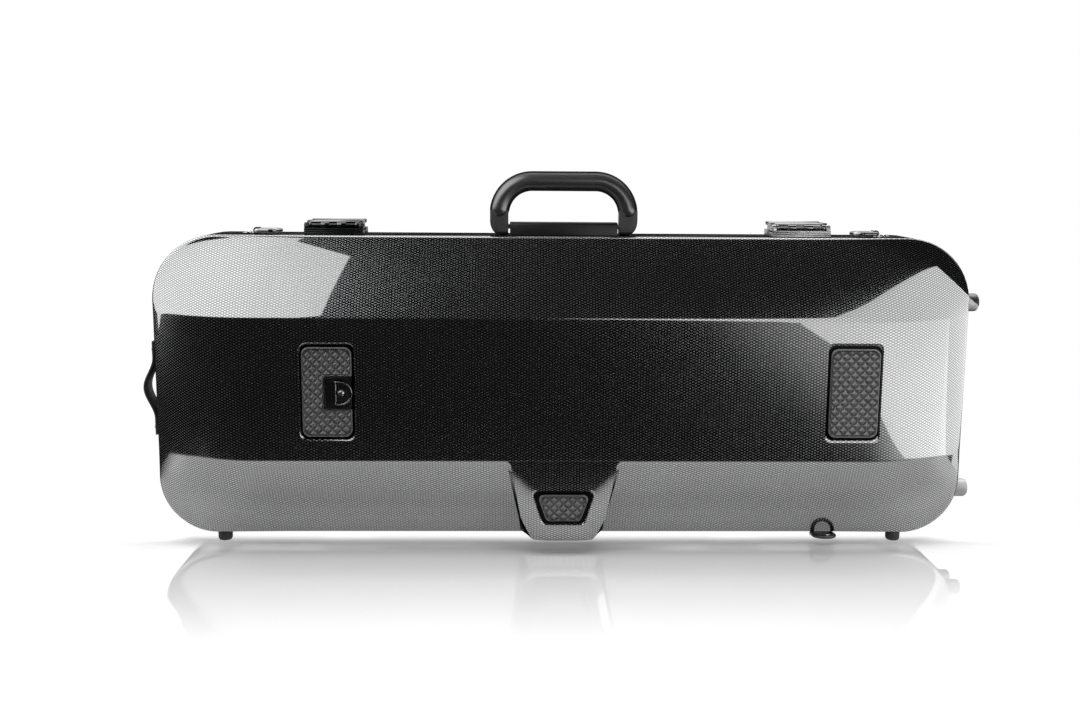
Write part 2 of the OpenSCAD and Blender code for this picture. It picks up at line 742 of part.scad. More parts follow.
// a moulded tray: a flat deck with a thin-walled hollow below each opening
module foam_tray() {
  color([0.35, 0.36, 0.38]) place() difference() {
    intersection() {
      union() {
        slab(tray_e, -tray_top - 6.4, -tray_top);
        hollows(tray_t);
      }
      slab(tray_e, -base_full, -tray_top);
    }
    hollows(0);
    translate([0, 0, mid_z]) stand(-tray_top - 3.3, 5) translate([box_x0 - 4, -box_v1 - 4])
      square([box_x1 - box_x0 + 8, box_v1 - box_v0 + 6]);
  }
}

// two soft blocks that carry the instrument by its ends, clear of the hollow's floor
module suspension(x0, x1, v) {
  translate([0, 0, mid_z]) stand(-well_d - 17.8, -well_d + 5) translate([x0, -v]) square([x1 - x0, 2 * v]);
}

module suspension_pad_wide() {
  color([0.30, 0.31, 0.33]) place() suspension(wide_x + 28, wide_x + 56, 34);
}

module suspension_pad_narrow() {
  color([0.30, 0.31, 0.33]) place() suspension(narrow_x - 42, narrow_x - 12, 28);
}

cradle_x = narrow_x - 190;
// a block across the neck channel with a round notch for the neck
module neck_cradle() {
  color([0.30, 0.31, 0.33]) place() difference() {
    box(cradle_x - 14, cradle_x + 14, -well_d + 6, -12, mid_z - neck_half + air, mid_z + neck_half - air);
    bar_x(cradle_x - 30, cradle_x + 30, -9, mid_z, 20);
  }
}

// a soft band fixed to the two horns of the cradle, which ties over the neck
module neck_strap() {
  color([0.25, 0.25, 0.27]) place()
  translate([cradle_x - 10, 0, mid_z]) rotate([0, 90, 0]) linear_extrude(20)
    polygon(concat(
      [for (k = [-8:8]) [k * 4, -11.8 + 11 * cos(k * 11.25)]],
      [for (k = [8:-1:-8]) [k * 4 * 1.02, -10.3 + 11.2 * cos(k * 11.25)]]
    ));
}

lid_pivot_z = mid_z - box_v0 + 1;
lid_pivot_y = -tray_top - 1.5;
// the lid of the spine-side pocket turns on its edge next to the neck channel
module accessory_lid() {
  color([0.33, 0.34, 0.36]) place() {
    box(box_x0 - 3.5, box_x1 + 3.5, -tray_top - 3, -tray_top, mid_z - box_v1 - 3.5, lid_pivot_z);
    bar_x(box_x0 - 3.5, box_x1 + 3.5, lid_pivot_y, lid_pivot_z - 0.1, 1.5);
  }
}

module accessory_tab() {
  color([0.2, 0.2, 0.2]) place() translate([(box_x0 + box_x1) / 2, 0, mid_z - box_v1 + 6])
    box(-7, 7, -tray_top, -tray_top + 1.5, -9, 4);
}

// ---------------------------------------------------------------- inside of the lid

liner_t = 6;
liner_full = lid_full - shell_t - 0.4;
// a foam lining glued to the inside of the lid
module lid_liner() {
  e = tray_e + liner_t;
  y = lid_wall - shell_t * 0.7;
  color([0.35, 0.36, 0.38]) place() mirror([0, 1, 0]) dish(
    [tray_e + 1, y - 1.2, liner_full],
    [[tray_e, y - 3], [tray_e, 5], [e, 5], [e, y - liner_t - 3]],
    [e + 1, y - liner_t - 1.2, liner_full - liner_t]
  );
}

bow_v = 44;                                   // the two bows lie this far from the middle
bow_x = body_w / 2 - 142;
post_y0 = 32;
post_y1 = liner_full - liner_t;

module bow_post(v) {
  translate([bow_x, 0, mid_z + v]) {
    bar_y(0, post_y0 + 6, post_y1, 0, 7);
    bar_y(0, post_y0 - 0.3, post_y0 + 6, 0, 2.5);
    bar_y(0, post_y0 - 2, post_y0 - 0.3, 0, 4.5);
  }
}

// the button that turns across the bow
module bow_button(v) {
  translate([bow_x, 0, mid_z + v]) difference() {
    stand(post_y0, post_y0 + 5.7) polygon(rounded([[-9, -7], [30, -6], [30, 6], [-9, 7]], 4));
    bar_y(0, 0, 60, 0, 2.5 + fit);
  }
}

// a soft loop that the far end of a bow slips through
module bow_loop(v) {
  difference() {
    box(-bow_x - 20, -bow_x + 20, post_y1 - 22, post_y1, mid_z + v - 14, mid_z + v + 14);
    box(-bow_x - 40, -bow_x + 40, post_y1 - 19, post_y1 - 3, mid_z + v - 11, mid_z + v + 11);
  }
}

module bow_post_upper() { color([0.2, 0.2, 0.2]) place() bow_post(bow_v); }
module bow_post_lower() { color([0.2, 0.2, 0.2]) place() bow_post(-bow_v); }
module bow_button_upper() { color([0.1, 0.1, 0.1]) place() bow_button(bow_v); }
module bow_button_lower() { color([0.1, 0.1, 0.1]) place() bow_button(-bow_v); }
module bow_loop_upper() { color([0.3, 0.31, 0.33]) place() bow_loop(bow_v); }
module bow_loop_lower() { color([0.3, 0.31, 0.33]) place() bow_loop(-bow_v); }

// ---------------------------------------------------------------- which parts are drawn

bottom_shell();
bottom_rim();
hinge_base_leaves();
hinge_pins();
base_feet();
base_end_studs();
pad_left();
pad_right();
pad_nose();
pad_ring_cup();
pad_ring_clip();
pad_ring_boss();
pad_ring();
handle_bar();
handle_pins();
handle_grip();
latch_base_left();
latch_base_right();
latch_pin_left();
latch_pin_right();
latch_lever_left();
latch_lever_right();
lug_top_left();
lug_top_right();
lug_bottom();
lug_screws();
ring_top_left();
ring_top_right();
ring_bottom();
end_strap();
end_strap_rivets();
foam_tray();
suspension_pad_wide();
suspension_pad_narrow();
neck_cradle();
neck_strap();
accessory_lid();
accessory_tab();
lid_shell();
lid_rim();
hinge_lid_leaves();
lid_feet();
lid_end_studs();
latch_keeper_left();
latch_keeper_right();
lid_liner();
bow_post_upper();
bow_post_lower();
bow_button_upper();
bow_button_lower();
bow_loop_upper();
bow_loop_lower();
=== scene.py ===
import math

import bmesh
import bpy
import numpy as np
from mathutils import Matrix, Vector, geometry


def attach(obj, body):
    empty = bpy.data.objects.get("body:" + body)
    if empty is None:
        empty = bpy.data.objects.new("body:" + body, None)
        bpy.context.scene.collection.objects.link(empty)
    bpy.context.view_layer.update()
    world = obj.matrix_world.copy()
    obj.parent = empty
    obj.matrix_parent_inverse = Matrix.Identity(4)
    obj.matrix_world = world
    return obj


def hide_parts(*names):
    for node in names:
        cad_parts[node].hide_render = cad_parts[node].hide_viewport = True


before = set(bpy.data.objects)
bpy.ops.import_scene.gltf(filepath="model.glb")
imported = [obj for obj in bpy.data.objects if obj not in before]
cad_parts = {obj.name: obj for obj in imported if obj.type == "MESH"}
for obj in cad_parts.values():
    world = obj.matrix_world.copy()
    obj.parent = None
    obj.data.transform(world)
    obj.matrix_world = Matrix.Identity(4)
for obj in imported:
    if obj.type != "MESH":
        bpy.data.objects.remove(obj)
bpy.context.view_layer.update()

# ---------------------------------------------------------------------------------------------
# The bottom shell: a thin moulded half of glossy woven composite under clear lacquer. Its flat
# back turns down over two creases to the top and the spine and rolls off to both ends. A nose
# carries the back on down to the spine, and three shallow pockets are pressed in for the pads.

MM = 0.001
SEAM_Y = 4.9          # the seam between the shells lies this far behind the object's middle
MIDDLE_Z = 155.8      # height of the middle of the shells
BODY_W = 785.0
BODY_H = 291.0
CORNER_TOP, CORNER_LOW = 64.0, 56.0
EDGE = 3.2            # inset at which a shell's slopes are measured
LOWER_SLOPE = 83.0    # widths of the two slopes and of the rolled-off ends
UPPER_SLOPE = 73.0
END_SLOPE = 105.0
CREASE = 0.022        # half width of a crease as a share of its slope
BAND_LOW = -BODY_H / 2 + LOWER_SLOPE
BAND_HIGH = BODY_H / 2 - UPPER_SLOPE
SHELL_T = 4.0
SEAM_GAP = 1.8        # from the seam to a shell's edge, where the rim is pressed on
WALL = 30.0           # depth of the upright wall, and of each shell at its flat face
BOTTOM_FULL, LID_FULL = 78.0, 72.0
EDGE_ROUND = 2.4      # inset over which the wall rounds into the face
EDGE_RISE = 1.2       # how far above the wall the face starts
WEAVE_LONG, WEAVE_HIGH = 5.3, 2.6     # pitch of the lozenges along and up the shell
CREASE_ROWS = 2.7     # half width of the close rows along a crease


class Value:
    """One output of a node, so that shader maths reads as Python expressions."""

    def __init__(self, nodes, socket):
        self.nodes, self.socket = nodes, socket

    def other(self, name):
        return Value(self.nodes, self.socket.node.outputs[name])

    def maths(self, operation, *values):
        return self.nodes.add("ShaderNodeMath", {"operation": operation}, dict(enumerate(values)))

    def __add__(self, b): return self.maths("ADD", self, b)
    def __rsub__(self, a): return self.maths("SUBTRACT", a, self)
    def __mul__(self, b): return self.maths("MULTIPLY", self, b)
    __radd__ = __add__
    __rmul__ = __mul__

    def cosine(self): return self.maths("COSINE", self)
    def size(self): return self.maths("ABSOLUTE", self)
    def or_more(self, b): return self.maths("MAXIMUM", self, b)

    def ramp(self, low, high, start=0.0, end=1.0):
        """Goes smoothly from start to end as the value goes from low to high."""
        return self.nodes.add("ShaderNodeMapRange", {"interpolation_type": "SMOOTHSTEP"},
                              {0: self, 1: low, 2: high, 3: start, 4: end})


class Nodes:
    """The nodes of one material, of the world, or of a geometry tree."""

    def __init__(self, owner):
        if isinstance(owner, bpy.types.NodeTree):
            self.owner = self.tree = owner
        else:
            owner.use_nodes = True
            self.owner, self.tree = owner, owner.node_tree
        self.tree.nodes.clear()

    def add(self, kind, settings={}, sockets={}, output=0):
        node = self.tree.nodes.new(kind)
        for key, value in settings.items():
            setattr(node, key, value)
        for key, value in sockets.items():
            if isinstance(value, Value):
                self.tree.links.new(value.socket, node.inputs[key])
            else:
                node.inputs[key].default_value = value
        return Value(self, node.outputs[output]) if node.outputs else None

    def blend(self, share, a, b):
        """Colour a where share is 0 and b where it is 1."""
        return self.add("ShaderNodeMix", {"data_type": "RGBA"}, {0: share, 6: a, 7: b}, 2)

    def place(self, stretch=(1, 1, 1)):
        """The object's own coordinates in millimetres, stretched along each axis."""
        at = self.add("ShaderNodeTexCoord", output="Object")
        return self.add("ShaderNodeVectorMath", {"operation": "MULTIPLY"},
                        {0: at, 1: [1000 * s for s in stretch]})

    def noise(self, at, scale, detail=3.0):
        return self.add("ShaderNodeTexNoise", {}, {"Vector": at, "Scale": scale, "Detail": detail})

    def glance(self, low, high):
        """0 on surfaces that face the view, 1 on those that turn away from it."""
        return self.add("ShaderNodeLayerWeight", {}, {"Blend": 0.5}, "Facing").ramp(low, high)

    def bump(self, height, strength, distance_mm):
        return self.add("ShaderNodeBump", {}, {
            "Height": height, "Strength": strength, "Distance": distance_mm * MM})

    def surface(self, **sockets):
        """Ends the material in a Principled surface; names take spaces for underscores."""
        named = {key.replace("_", " "): value for key, value in sockets.items()}
        shader = self.add("ShaderNodeBsdfPrincipled", {}, named)
        self.add("ShaderNodeOutputMaterial", {}, {"Surface": shader})
        return self.owner


def grey(level, warm=0.0):
    """An opaque colour, a little warmer or cooler than grey."""
    return (level * (1 + warm), level, level * (1 - warm), 1.0)


def woven_lacquer():
    """Woven composite under clear lacquer: bright lozenges of thread on a darker ground, painted
    dark where the surface turns away from the view.
    """
    n = Nodes(bpy.data.materials.new("woven_lacquer"))
    thread = n.add("ShaderNodeAttribute", {"attribute_name": "thread"}, output="Vector")
    along = n.add("ShaderNodeSeparateXYZ", {}, {0: thread})
    across, bare = along.other("Y"), along.other("Z")
    turn = 2 * math.pi
    lattice = (along * (turn / WEAVE_LONG)).cosine() * (across * (turn / WEAVE_HIGH)).cosine()
    drift = n.noise(n.place(), 0.02)
    # painted shade: where the surface turns away from the view, the lozenges, the metal and the
    # lacquer's coat fade out, so that the tops of the shells go black
    painted_graze_fade = 1 - n.glance(0.68, 0.88)
    lozenge = lattice.ramp(0.05, 0.6) * drift.ramp(0.2, 0.8, 0.86, 1.0) * (1 - bare) * painted_graze_fade
    return n.surface(
        Base_Color=n.blend(lozenge, grey(0.004, -0.03), grey(0.36, -0.02)),
        Metallic=painted_graze_fade * 0.98, Specular_IOR_Level=0.0, Roughness=lozenge.ramp(0, 1, 0.2, 0.28),
        Normal=n.bump(lozenge, 0.10, 0.12),
        Coat_Weight=(1 - bare) * painted_graze_fade, Coat_Roughness=0.02, Coat_IOR=2.2)


def corner_at(v):
    return np.where(np.asarray(v) < 0, CORNER_LOW, CORNER_TOP)


def half_width(v, inset):
    """Half width of the rounded outline at height v."""
    corner = corner_at(v)
    past = np.maximum(0, np.abs(v) - (BODY_H / 2 - corner))
    return BODY_W / 2 - corner + np.sqrt(np.maximum(0, (corner - inset) ** 2 - past * past))


NOSE_TOP = 54.0       # half widths of the nose at the crease and above its tip
NOSE_LOW = 42.0
NOSE_TIP = 17.0       # height over which the tip narrows
NOSE_LEAN = 0.12      # how far the face of the nose leans back, per millimetre of height
NOSE_ROUND = 7.0      # radius of the tip seen from the side
NOSE_ROUND_Z = 20.1   # height at which that radius starts
LEAN_FROM = 64.0      # height at which the face starts to lean, and how much sooner at its sides
LEAN_SOONER = 27.0


def nose_half(v):
    up = v + BODY_H / 2
    taper = NOSE_LOW + (NOSE_TOP - NOSE_LOW) * (up - NOSE_TIP) / (LOWER_SLOPE - NOSE_TIP)
    tip = NOSE_LOW - 2 * (NOSE_TIP - up) / NOSE_TIP
    return np.where(up >= LOWER_SLOPE, NOSE_TOP, np.where(up > NOSE_TIP, taper, tip))


def nose_flank(v):
    """Width of the nose's flanks, which flare towards its tip."""
    return 3.5 + 10.5 * np.clip(1 - (v + BODY_H / 2) / 30, 0, 1) ** 1.5


def nose_face(x, v, full):
    """Depth of the leaning face of the nose, which starts to lean sooner near its sides."""
    z = v + MIDDLE_Z
    to_side = np.clip(np.abs(x) / (nose_half(v) - nose_flank(v)), 0, 1)
    lean_from = LEAN_FROM + LEAN_SOONER * to_side ** 4
    below = np.maximum(0, lean_from - z)
    lean = NOSE_LEAN * np.where(below < 8, below * below / 16, below - 4)
    tip = np.clip(NOSE_ROUND_Z - z, 0, NOSE_ROUND)
    return full - lean - NOSE_ROUND + np.sqrt(NOSE_ROUND ** 2 - tip ** 2)


def skin(x, v, wall, full, nose=False, inset=EDGE):
    """Depth of a shell's outer face, measured from the seam, at x and height v."""
    run = np.where(v < 0, (BODY_H / 2 - inset + v) / (LOWER_SLOPE - inset),
                   (BODY_H / 2 - inset - v) / (UPPER_SLOPE - inset))
    s = np.clip((run - (1 - CREASE)) / (2 * CREASE), 0, 1)
    up = np.where(run < 1 - CREASE, run, 1 - CREASE + 2 * CREASE * (s - s * s / 2))
    end = np.minimum(1, (half_width(v, inset) - np.abs(x)) / END_SLOPE)
    rise = up * (1.15 - 0.15 * up) * (1 - (1 - end) ** 2.2)
    depth = wall + EDGE_RISE + (full - wall - EDGE_RISE) * rise
    if not nose:
        return depth
    half = nose_half(v)
    side = np.clip((np.abs(x) - half) / nose_flank(v) + 1, 0, 1)
    on_nose = (v < BAND_LOW) & (np.abs(x) < half)
    return np.where(on_nose, nose_face(x, v, full) * (1 - side) + depth * side, depth)


def thread_lines(full):
    """Lengths along the surface from its middle, at positions across and up the shell."""
    xs, vs = np.linspace(0, BODY_W / 2, 800), np.linspace(-BODY_H / 2, BODY_H / 2, 600)
    run_x = np.hypot(np.diff(xs), np.diff(skin(xs, 0 * xs, WALL, full)))
    run_v = np.hypot(np.diff(vs), np.diff(skin(0 * vs, vs, WALL, full)))
    along = np.concatenate([[0], np.cumsum(run_x)])
    up = np.concatenate([[0], np.cumsum(run_v)])
    up -= np.interp(0, vs, up)
    return lambda x, v: (np.sign(x) * np.interp(np.abs(x), xs, along), np.interp(v, vs, up))


def shell_rows(inset):
    """Heights of the grid's rows, close together round the corners and at the creases."""
    turn = np.linspace(0, math.pi / 2, 15)
    low = -(BODY_H / 2 - CORNER_LOW) - (CORNER_LOW - inset) * np.cos(turn)
    high = BODY_H / 2 - CORNER_TOP + (CORNER_TOP - inset) * np.cos(turn[::-1])
    crease = np.linspace(-CREASE_ROWS, CREASE_ROWS, 7)
    return np.concatenate([
        low, np.linspace(low[-1], BAND_LOW - CREASE_ROWS, 7)[1:-1], BAND_LOW + crease,
        np.linspace(BAND_LOW + CREASE_ROWS, BAND_HIGH - CREASE_ROWS, 20)[1:-1], BAND_HIGH + crease,
        np.linspace(BAND_HIGH + CREASE_ROWS, high[0], 4)[1:-1], high])


def shell_columns(v, inset):
    """Places of one row's points: both ends, both sides, and the flanks and face of the nose."""
    w, half, flank = (float(f) for f in (half_width(v, inset), nose_half(v), nose_flank(v)))
    end = END_SLOPE * np.linspace(0, 1, 25) ** 1.25
    left = np.concatenate([
        -w + end, np.linspace(-w + END_SLOPE, -half, 24)[1:],
        np.linspace(-half, -half + flank, 6)[1:],
        np.linspace(-half + flank, 0, 11)[1:-1]])
    return np.concatenate([left, [0], -left[::-1]])


def shell_grid(inset):
    """Places and heights of all the points of a shell's face."""
    v = shell_rows(inset)
    x = np.array([shell_columns(a, inset) for a in v])
    return x, np.repeat(v[:, None], x.shape[1], 1)


def rounded_outline(corners, radius, steps=6):
    """A flat polygon with its corners rounded, all alike or each with its own radius."""
    p, out = [Vector(c) for c in corners], []
    radii = [radius] * len(p) if np.isscalar(radius) else radius
    for i, (b, r) in enumerate(zip(p, radii)):
        a, c = (p[i - 1] - b).normalized(), (p[(i + 1) % len(p)] - b).normalized()
        half = math.acos(max(-1, min(1, a.dot(c)))) / 2
        middle = (a + c).normalized()
        centre = b + middle * r / math.sin(half)
        side = 1 if a.x * c.y - a.y * c.x > 0 else -1
        start = math.atan2(-middle.y, -middle.x)
        for k in range(steps + 1):
            g = start + side * (math.pi / 2 - half) * (1 - 2 * k / steps)
            out.append((centre.x + r * math.cos(g), centre.y + r * math.sin(g)))
    return np.array(out)


PAD_X = {"left": -220.0, "right": 270.5}
PAD_V = 159.3 - MIDDLE_Z
NOSE_PAD_V = 48.3 - MIDDLE_Z
CUP_IN, CUP_LOW, CUP_HIGH = -3.0, -16.0, 15.0     # the ring's cup, from the left pad's middle


def pad_outline(name, grow, notched=False):
    """Outline of a pad on the back, grown by a gap all round."""
    if name == "nose":
        corners = [(-16 - grow, -13 - grow), (16 + grow, -13 - grow),
                   (25 + grow * 1.4, 13 + grow), (-25 - grow * 1.4, 13 + grow)]
        return rounded_outline(corners, 4.5) + (0, NOSE_PAD_V)
    a, b = 23 + grow, 42 + grow * 1.5
    corners, radii = [(-a, -b), (a, -b), (a, b), (-a, b)], [6.5] * 4
    if notched and name == "left":
        x, low, high = CUP_IN + grow, CUP_LOW + grow, CUP_HIGH - grow
        corners[2:2] = [(a, low), (x, low), (x, high), (a, high)]
        radii[2:2] = [0.8] * 4
    return rounded_outline(corners, radii) + (PAD_X[name], PAD_V)


POCKET_GAP = {"left": 3.0, "right": 3.0, "nose": 4.5}
POCKET_D = 1.6
LIP_R = 1.1
MOUTH = 0.6           # how far a pocket's rolled lip reaches past its gap
# the lip, wall and floor of a pocket: how far in, in lip radii, and how deep
LIP = ((0.6, 0), (0.9, 0.32), (1.35, 0.75), (1.6, 1.25), (1.65, 1.3), (1.7, POCKET_D))


def inside(outline, points):
    """Which of the points lie inside a closed outline."""
    hit = np.zeros(len(points), bool)
    for (ax, ay), (bx, by) in zip(outline, np.roll(outline, -1, axis=0)):
        spans = (ay > points[:, 1]) != (by > points[:, 1])
        if spans.any():
            cut = ax + (points[:, 1] - ay) / (by - ay if by != ay else 1e-9) * (bx - ax)
            hit ^= spans & (points[:, 0] < cut)
    return hit


def band(last, now):
    """Faces that join one closed ring of points to the next."""
    return [[last[k], last[k - 1], now[k - 1], now[k]] for k in range(len(now))]


def border(grid):
    """The outer ring of a grid of point numbers."""
    return np.concatenate([grid[0, :-1], grid[:-1, -1], grid[-1, :0:-1], grid[:0:-1, 0]])


def grid_faces(grid):
    """The four corners of every cell of a grid of point numbers."""
    return np.stack([grid[:-1, :-1], grid[:-1, 1:], grid[1:, 1:], grid[1:, :-1]], 2)


def make_shell(full, side, pockets=()):
    """One shell as a closed skin: outer face, rounded edge, wall, seam, inner wall, inner face.
    side is -1 for the bottom and 1 for the lid."""
    points, threads, faces, bare = [], [], [], []
    to_thread = thread_lines(full)

    def face(x, v, nose=bool(pockets)):
        return skin(x, v, WALL, full, nose)

    def lay(x, depth, v, thread=None):
        """Adds points with their thread lengths, and gives their numbers."""
        if thread is None:
            thread = np.stack(to_thread(x.ravel(), v.ravel()), 1)
        first = len(points)
        points.extend(np.stack([x.ravel(), depth.ravel(), v.ravel()], 1).tolist())
        threads.extend(thread.tolist())
        return np.arange(first, len(points))

    def lay_face(inset, under):
        """Adds a whole face; the nose ends above its lowest row."""
        x, v = shell_grid(inset)
        depth = face(x, v)
        depth[0] = face(x[0], v[0], False)
        return x, v, lay(x, depth - under, v).reshape(x.shape)

    x, v, grid = lay_face(EDGE_ROUND, 0.0)
    cells = grid_faces(grid)
    holed = np.zeros(cells.shape[:2], bool)
    for pocket in pockets:
        # the grid round a pocket is joined afresh to the pocket's outline
        gap = POCKET_GAP[pocket]
        mouth = pad_outline(pocket, gap + MOUTH)
        reach = pad_outline(pocket, gap + 5)
        i0 = np.searchsorted(v[:, 0], reach[:, 1].min()) - 1
        i1 = np.searchsorted(v[:, 0], reach[:, 1].max())
        j0 = int((x[i0:i1 + 1] < reach[:, 0].min()).all(0).nonzero()[0].max())
        j1 = int((x[i0:i1 + 1] > reach[:, 0].max()).all(0).nonzero()[0].min())
        holed[i0:i1, j0:j1] = True
        block = grid[i0:i1 + 1, j0:j1 + 1]
        ring, within = border(block), block[1:-1, 1:-1].ravel()
        flat = np.array(points)[:, [0, 2]]
        free = within[~inside(pad_outline(pocket, gap + 2.5), flat[within])]
        last = lay(mouth[:, 0], face(mouth[:, 0], mouth[:, 1]), mouth[:, 1])
        used = np.concatenate([ring, last, free])
        flat = np.array(points)[:, [0, 2]]
        a, b = len(ring), len(mouth)
        edges = [(k, (k + 1) % a) for k in range(a)] + [(a + k, a + (k + 1) % b) for k in range(b)]
        _, _, tris, origin, _, _ = geometry.delaunay_2d_cdt(
            [Vector(p) for p in flat[used]], edges, [], 1, 1e-5)
        tris = [[int(used[origin[k][0]]) for k in t] for t in tris]
        middle = np.array([flat[t].mean(0) for t in tris])
        faces += [t for t, cut in zip(tris, inside(mouth, middle)) if not cut]
        for back, into in LIP:
            loop = pad_outline(pocket, gap + MOUTH - LIP_R * back)
            now = lay(loop[:, 0], face(loop[:, 0], loop[:, 1]) - into, loop[:, 1])
            faces += band(last, now)
            last = now
        bare += list(last)
        faces.append(last)
    faces += cells[~holed].tolist()

    # the rounded edge and the wall, one loop after another round the outline
    last = border(grid)
    rx, rv = x.ravel()[last], v.ravel()[last]
    corner = corner_at(rv)
    cx = np.clip(rx, corner - BODY_W / 2, BODY_W / 2 - corner)
    cv = np.clip(rv, corner - BODY_H / 2, BODY_H / 2 - corner)
    out = np.stack([rx - cx, rv - cv], 1) / (corner - EDGE_ROUND)[:, None]
    at_rim = face(rx, rv, False)
    slope = (face(rx - out[:, 0] * 0.5, rv - out[:, 1] * 0.5, False) - at_rim) / 0.5
    turn = np.arctan2(1, np.maximum(0, slope))
    radius = EDGE_ROUND / (1 - np.cos(turn))
    loops = [(EDGE_ROUND - radius * (1 - np.cos(turn * k)),
              at_rim - radius * (np.sin(turn) - np.sin(turn * k)), radius * turn * (1 - k))
             for k in (0.8, 0.6, 0.4, 0.2, 0.0)]
    low, run = loops[-1][1], loops[-1][2]
    for share in (0.5, 1.0):
        depth = low + (SEAM_GAP + 0.4 - low) * share
        loops.append((EDGE_ROUND + 0 * depth, depth, run + low - depth))
    end = run + low - SEAM_GAP
    for back, depth in ((0.4, SEAM_GAP), (SHELL_T, SEAM_GAP), (SHELL_T, WALL - SHELL_T)):
        loops.append((EDGE_ROUND - back + 0 * low, depth + 0 * low, end + back))
    rim_thread = np.stack(to_thread(rx, rv), 1)
    for grow, depth, length in loops:
        now = lay(rx + out[:, 0] * grow, depth, rv + out[:, 1] * grow,
                  rim_thread + out * length[:, None])
        faces += band(last, now)
        last = now

    # the inner face, on the same grid
    inner = lay_face(SHELL_T + 1, SHELL_T)[2]
    faces += band(last, border(inner))
    faces += grid_faces(inner)[..., [0, 3, 2, 1]].reshape(-1, 4).tolist()

    points = np.array(points)
    points[:, 1] *= side
    points[:, 2] += MIDDLE_Z
    threads = np.array([(*at, 0.0) for at in threads])
    threads[bare, 2] = 1
    return points, faces, threads


def added(name, data):
    """A new object in the scene."""
    obj = bpy.data.objects.new(name, data)
    bpy.context.scene.collection.objects.link(obj)
    return obj


def placed(points):
    """Points in millimetres, whose Y is measured from the seam, in the frame's metres."""
    return ((np.asarray(points, float) + (0, SEAM_Y, 0)) * MM).tolist()


def store(mesh, name, vectors):
    """Keeps a vector for each point of a mesh, for its material or for a geometry tree."""
    mesh.attributes.new(name, "FLOAT_VECTOR", "POINT").data.foreach_set(
        "vector", vectors.astype(np.float32).ravel())


def shaded(mesh, sharp):
    """Smooth shading, broken at edges that are sharper than an angle in degrees."""
    mesh.shade_smooth()
    mesh.set_sharp_from_angle(angle=math.radians(sharp))


def piece(name, points, faces, finish, sharp=35, threads=None):
    """A piece from points and faces, with its normals turned outwards."""
    mesh = bpy.data.meshes.new(name)
    mesh.from_pydata(placed(points), [], [[int(k) for k in f] for f in faces])
    if threads is not None:
        store(mesh, "thread", threads)
    bm = bmesh.new()
    bm.from_mesh(mesh)
    bmesh.ops.recalc_face_normals(bm, faces=bm.faces)
    bm.to_mesh(mesh)
    bm.free()
    mesh.materials.append(finish)
    shaded(mesh, sharp)
    return added(name, mesh)


def finished(obj, **modifiers):
    """Adds modifiers by kind, each with its settings, and keeps the mesh that they make."""
    for kind, settings in modifiers.items():
        modifier = obj.modifiers.new(kind, kind)
        for key, value in settings.items():
            setattr(modifier, key, value)
    seen = obj.evaluated_get(bpy.context.evaluated_depsgraph_get())
    made = bpy.data.meshes.new_from_object(seen)
    obj.modifiers.clear()
    obj.data = made
    return obj


def rides(obj, body, slot, *nodes):
    """Hands a piece over: the body it moves with, its material slot, the nodes it stands for. The
    slot is not used.
    """
    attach(obj, body)
    if nodes:
        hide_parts(*nodes)


LACQUER = woven_lacquer()
points, faces, threads = make_shell(BOTTOM_FULL, -1, ("left", "right", "nose"))
bottom = piece("bottom_skin", points, faces, LACQUER, 32, threads)
rides(bottom, "base", "shell", "bottom_shell")

# ---------------------------------------------------------------------------------------------
# The bottom rim: a black moulded rim along the seam, with a tongue that stands up inside the
# lid's rim and keeps dust out. It is pressed over the edge of the shell.

def moulded_plastic(name, tone, roughness, grain=0.15):
    """Black moulded plastic with a faint spark-eroded grain."""
    n = Nodes(bpy.data.materials.new(name))
    at = n.place()
    fine = n.noise(at, 3.0)
    broad = n.noise(at, 0.05)
    return n.surface(
        Base_Color=n.blend(broad.ramp(0.3, 0.7), grey(tone * 0.85), grey(tone * 1.15)),
        Roughness=fine.ramp(0.3, 0.7, roughness - 0.05, roughness + 0.05),
        Normal=n.bump(fine, grain, 0.08), Specular_IOR_Level=0.35)


def outline_loop(inset, steps=14):
    """Points round the case's rounded outline, from its lower right corner, and the inset."""
    loop = []
    for q, (sx, sv) in enumerate(((1, 1), (-1, 1), (-1, -1), (1, -1))):
        corner = CORNER_TOP if sv > 0 else CORNER_LOW
        for a in np.linspace(0, math.pi / 2, steps) + q * math.pi / 2:
            loop.append((sx * (BODY_W / 2 - corner) + (corner - inset) * math.cos(a),
                         sv * (BODY_H / 2 - corner) + (corner - inset) * math.sin(a)))
    return np.array(loop)


def rim_band(name, profile, finish):
    """Sweeps a closed profile of (inset, y) round the outline of the case."""
    points, faces = [], []
    for inset, y in profile:
        loop = outline_loop(inset)
        points += np.stack([loop[:, 0], 0 * loop[:, 0] + y, loop[:, 1] + MIDDLE_Z], 1).tolist()
    rings = np.arange(len(points)).reshape(len(profile), -1)
    for last, now in zip(rings, np.roll(rings, -1, axis=0)):
        faces += band(last, now)
    return piece(name, points, faces, finish, 40)


BLACK_RIM = moulded_plastic("black_rim", 0.012, 0.42)
rim = rim_band("bottom_rim_band", [
    (0.3, -1.8), (0.0, -1.5), (0.0, -0.45), (0.3, -0.15), (4.25, -0.15), (4.25, 3.1), (4.6, 3.5),
    (5.9, 3.5), (6.25, 3.1), (6.25, -9.0), (4.25, -9.0), (4.25, -1.8)], BLACK_RIM)
rides(rim, "base", "edge", "bottom_rim")

# ---------------------------------------------------------------------------------------------
# The hinges: three steel butt hinges under the spine, their leaves riveted to the two shells,
# on drawn steel pins.

def worked_metal(name, tone, warm, roughness, brushed, stretch=(0.02, 1, 1)):
    """Plated or brushed metal: fine lines along one axis, smudges, and a little wear."""
    n = Nodes(bpy.data.materials.new(name))
    lines = n.noise(n.place(stretch), 2.0, 4.0)
    smudge = n.noise(n.place(), 0.12)
    return n.surface(
        Base_Color=n.blend(smudge.ramp(0.3, 0.7), grey(tone, warm), grey(tone * 0.86, warm)),
        Metallic=1.0,
        Roughness=smudge.ramp(0.25, 0.75, roughness, roughness + 0.1) + lines * 0.06,
        Normal=n.bump(lines, brushed, 0.05))


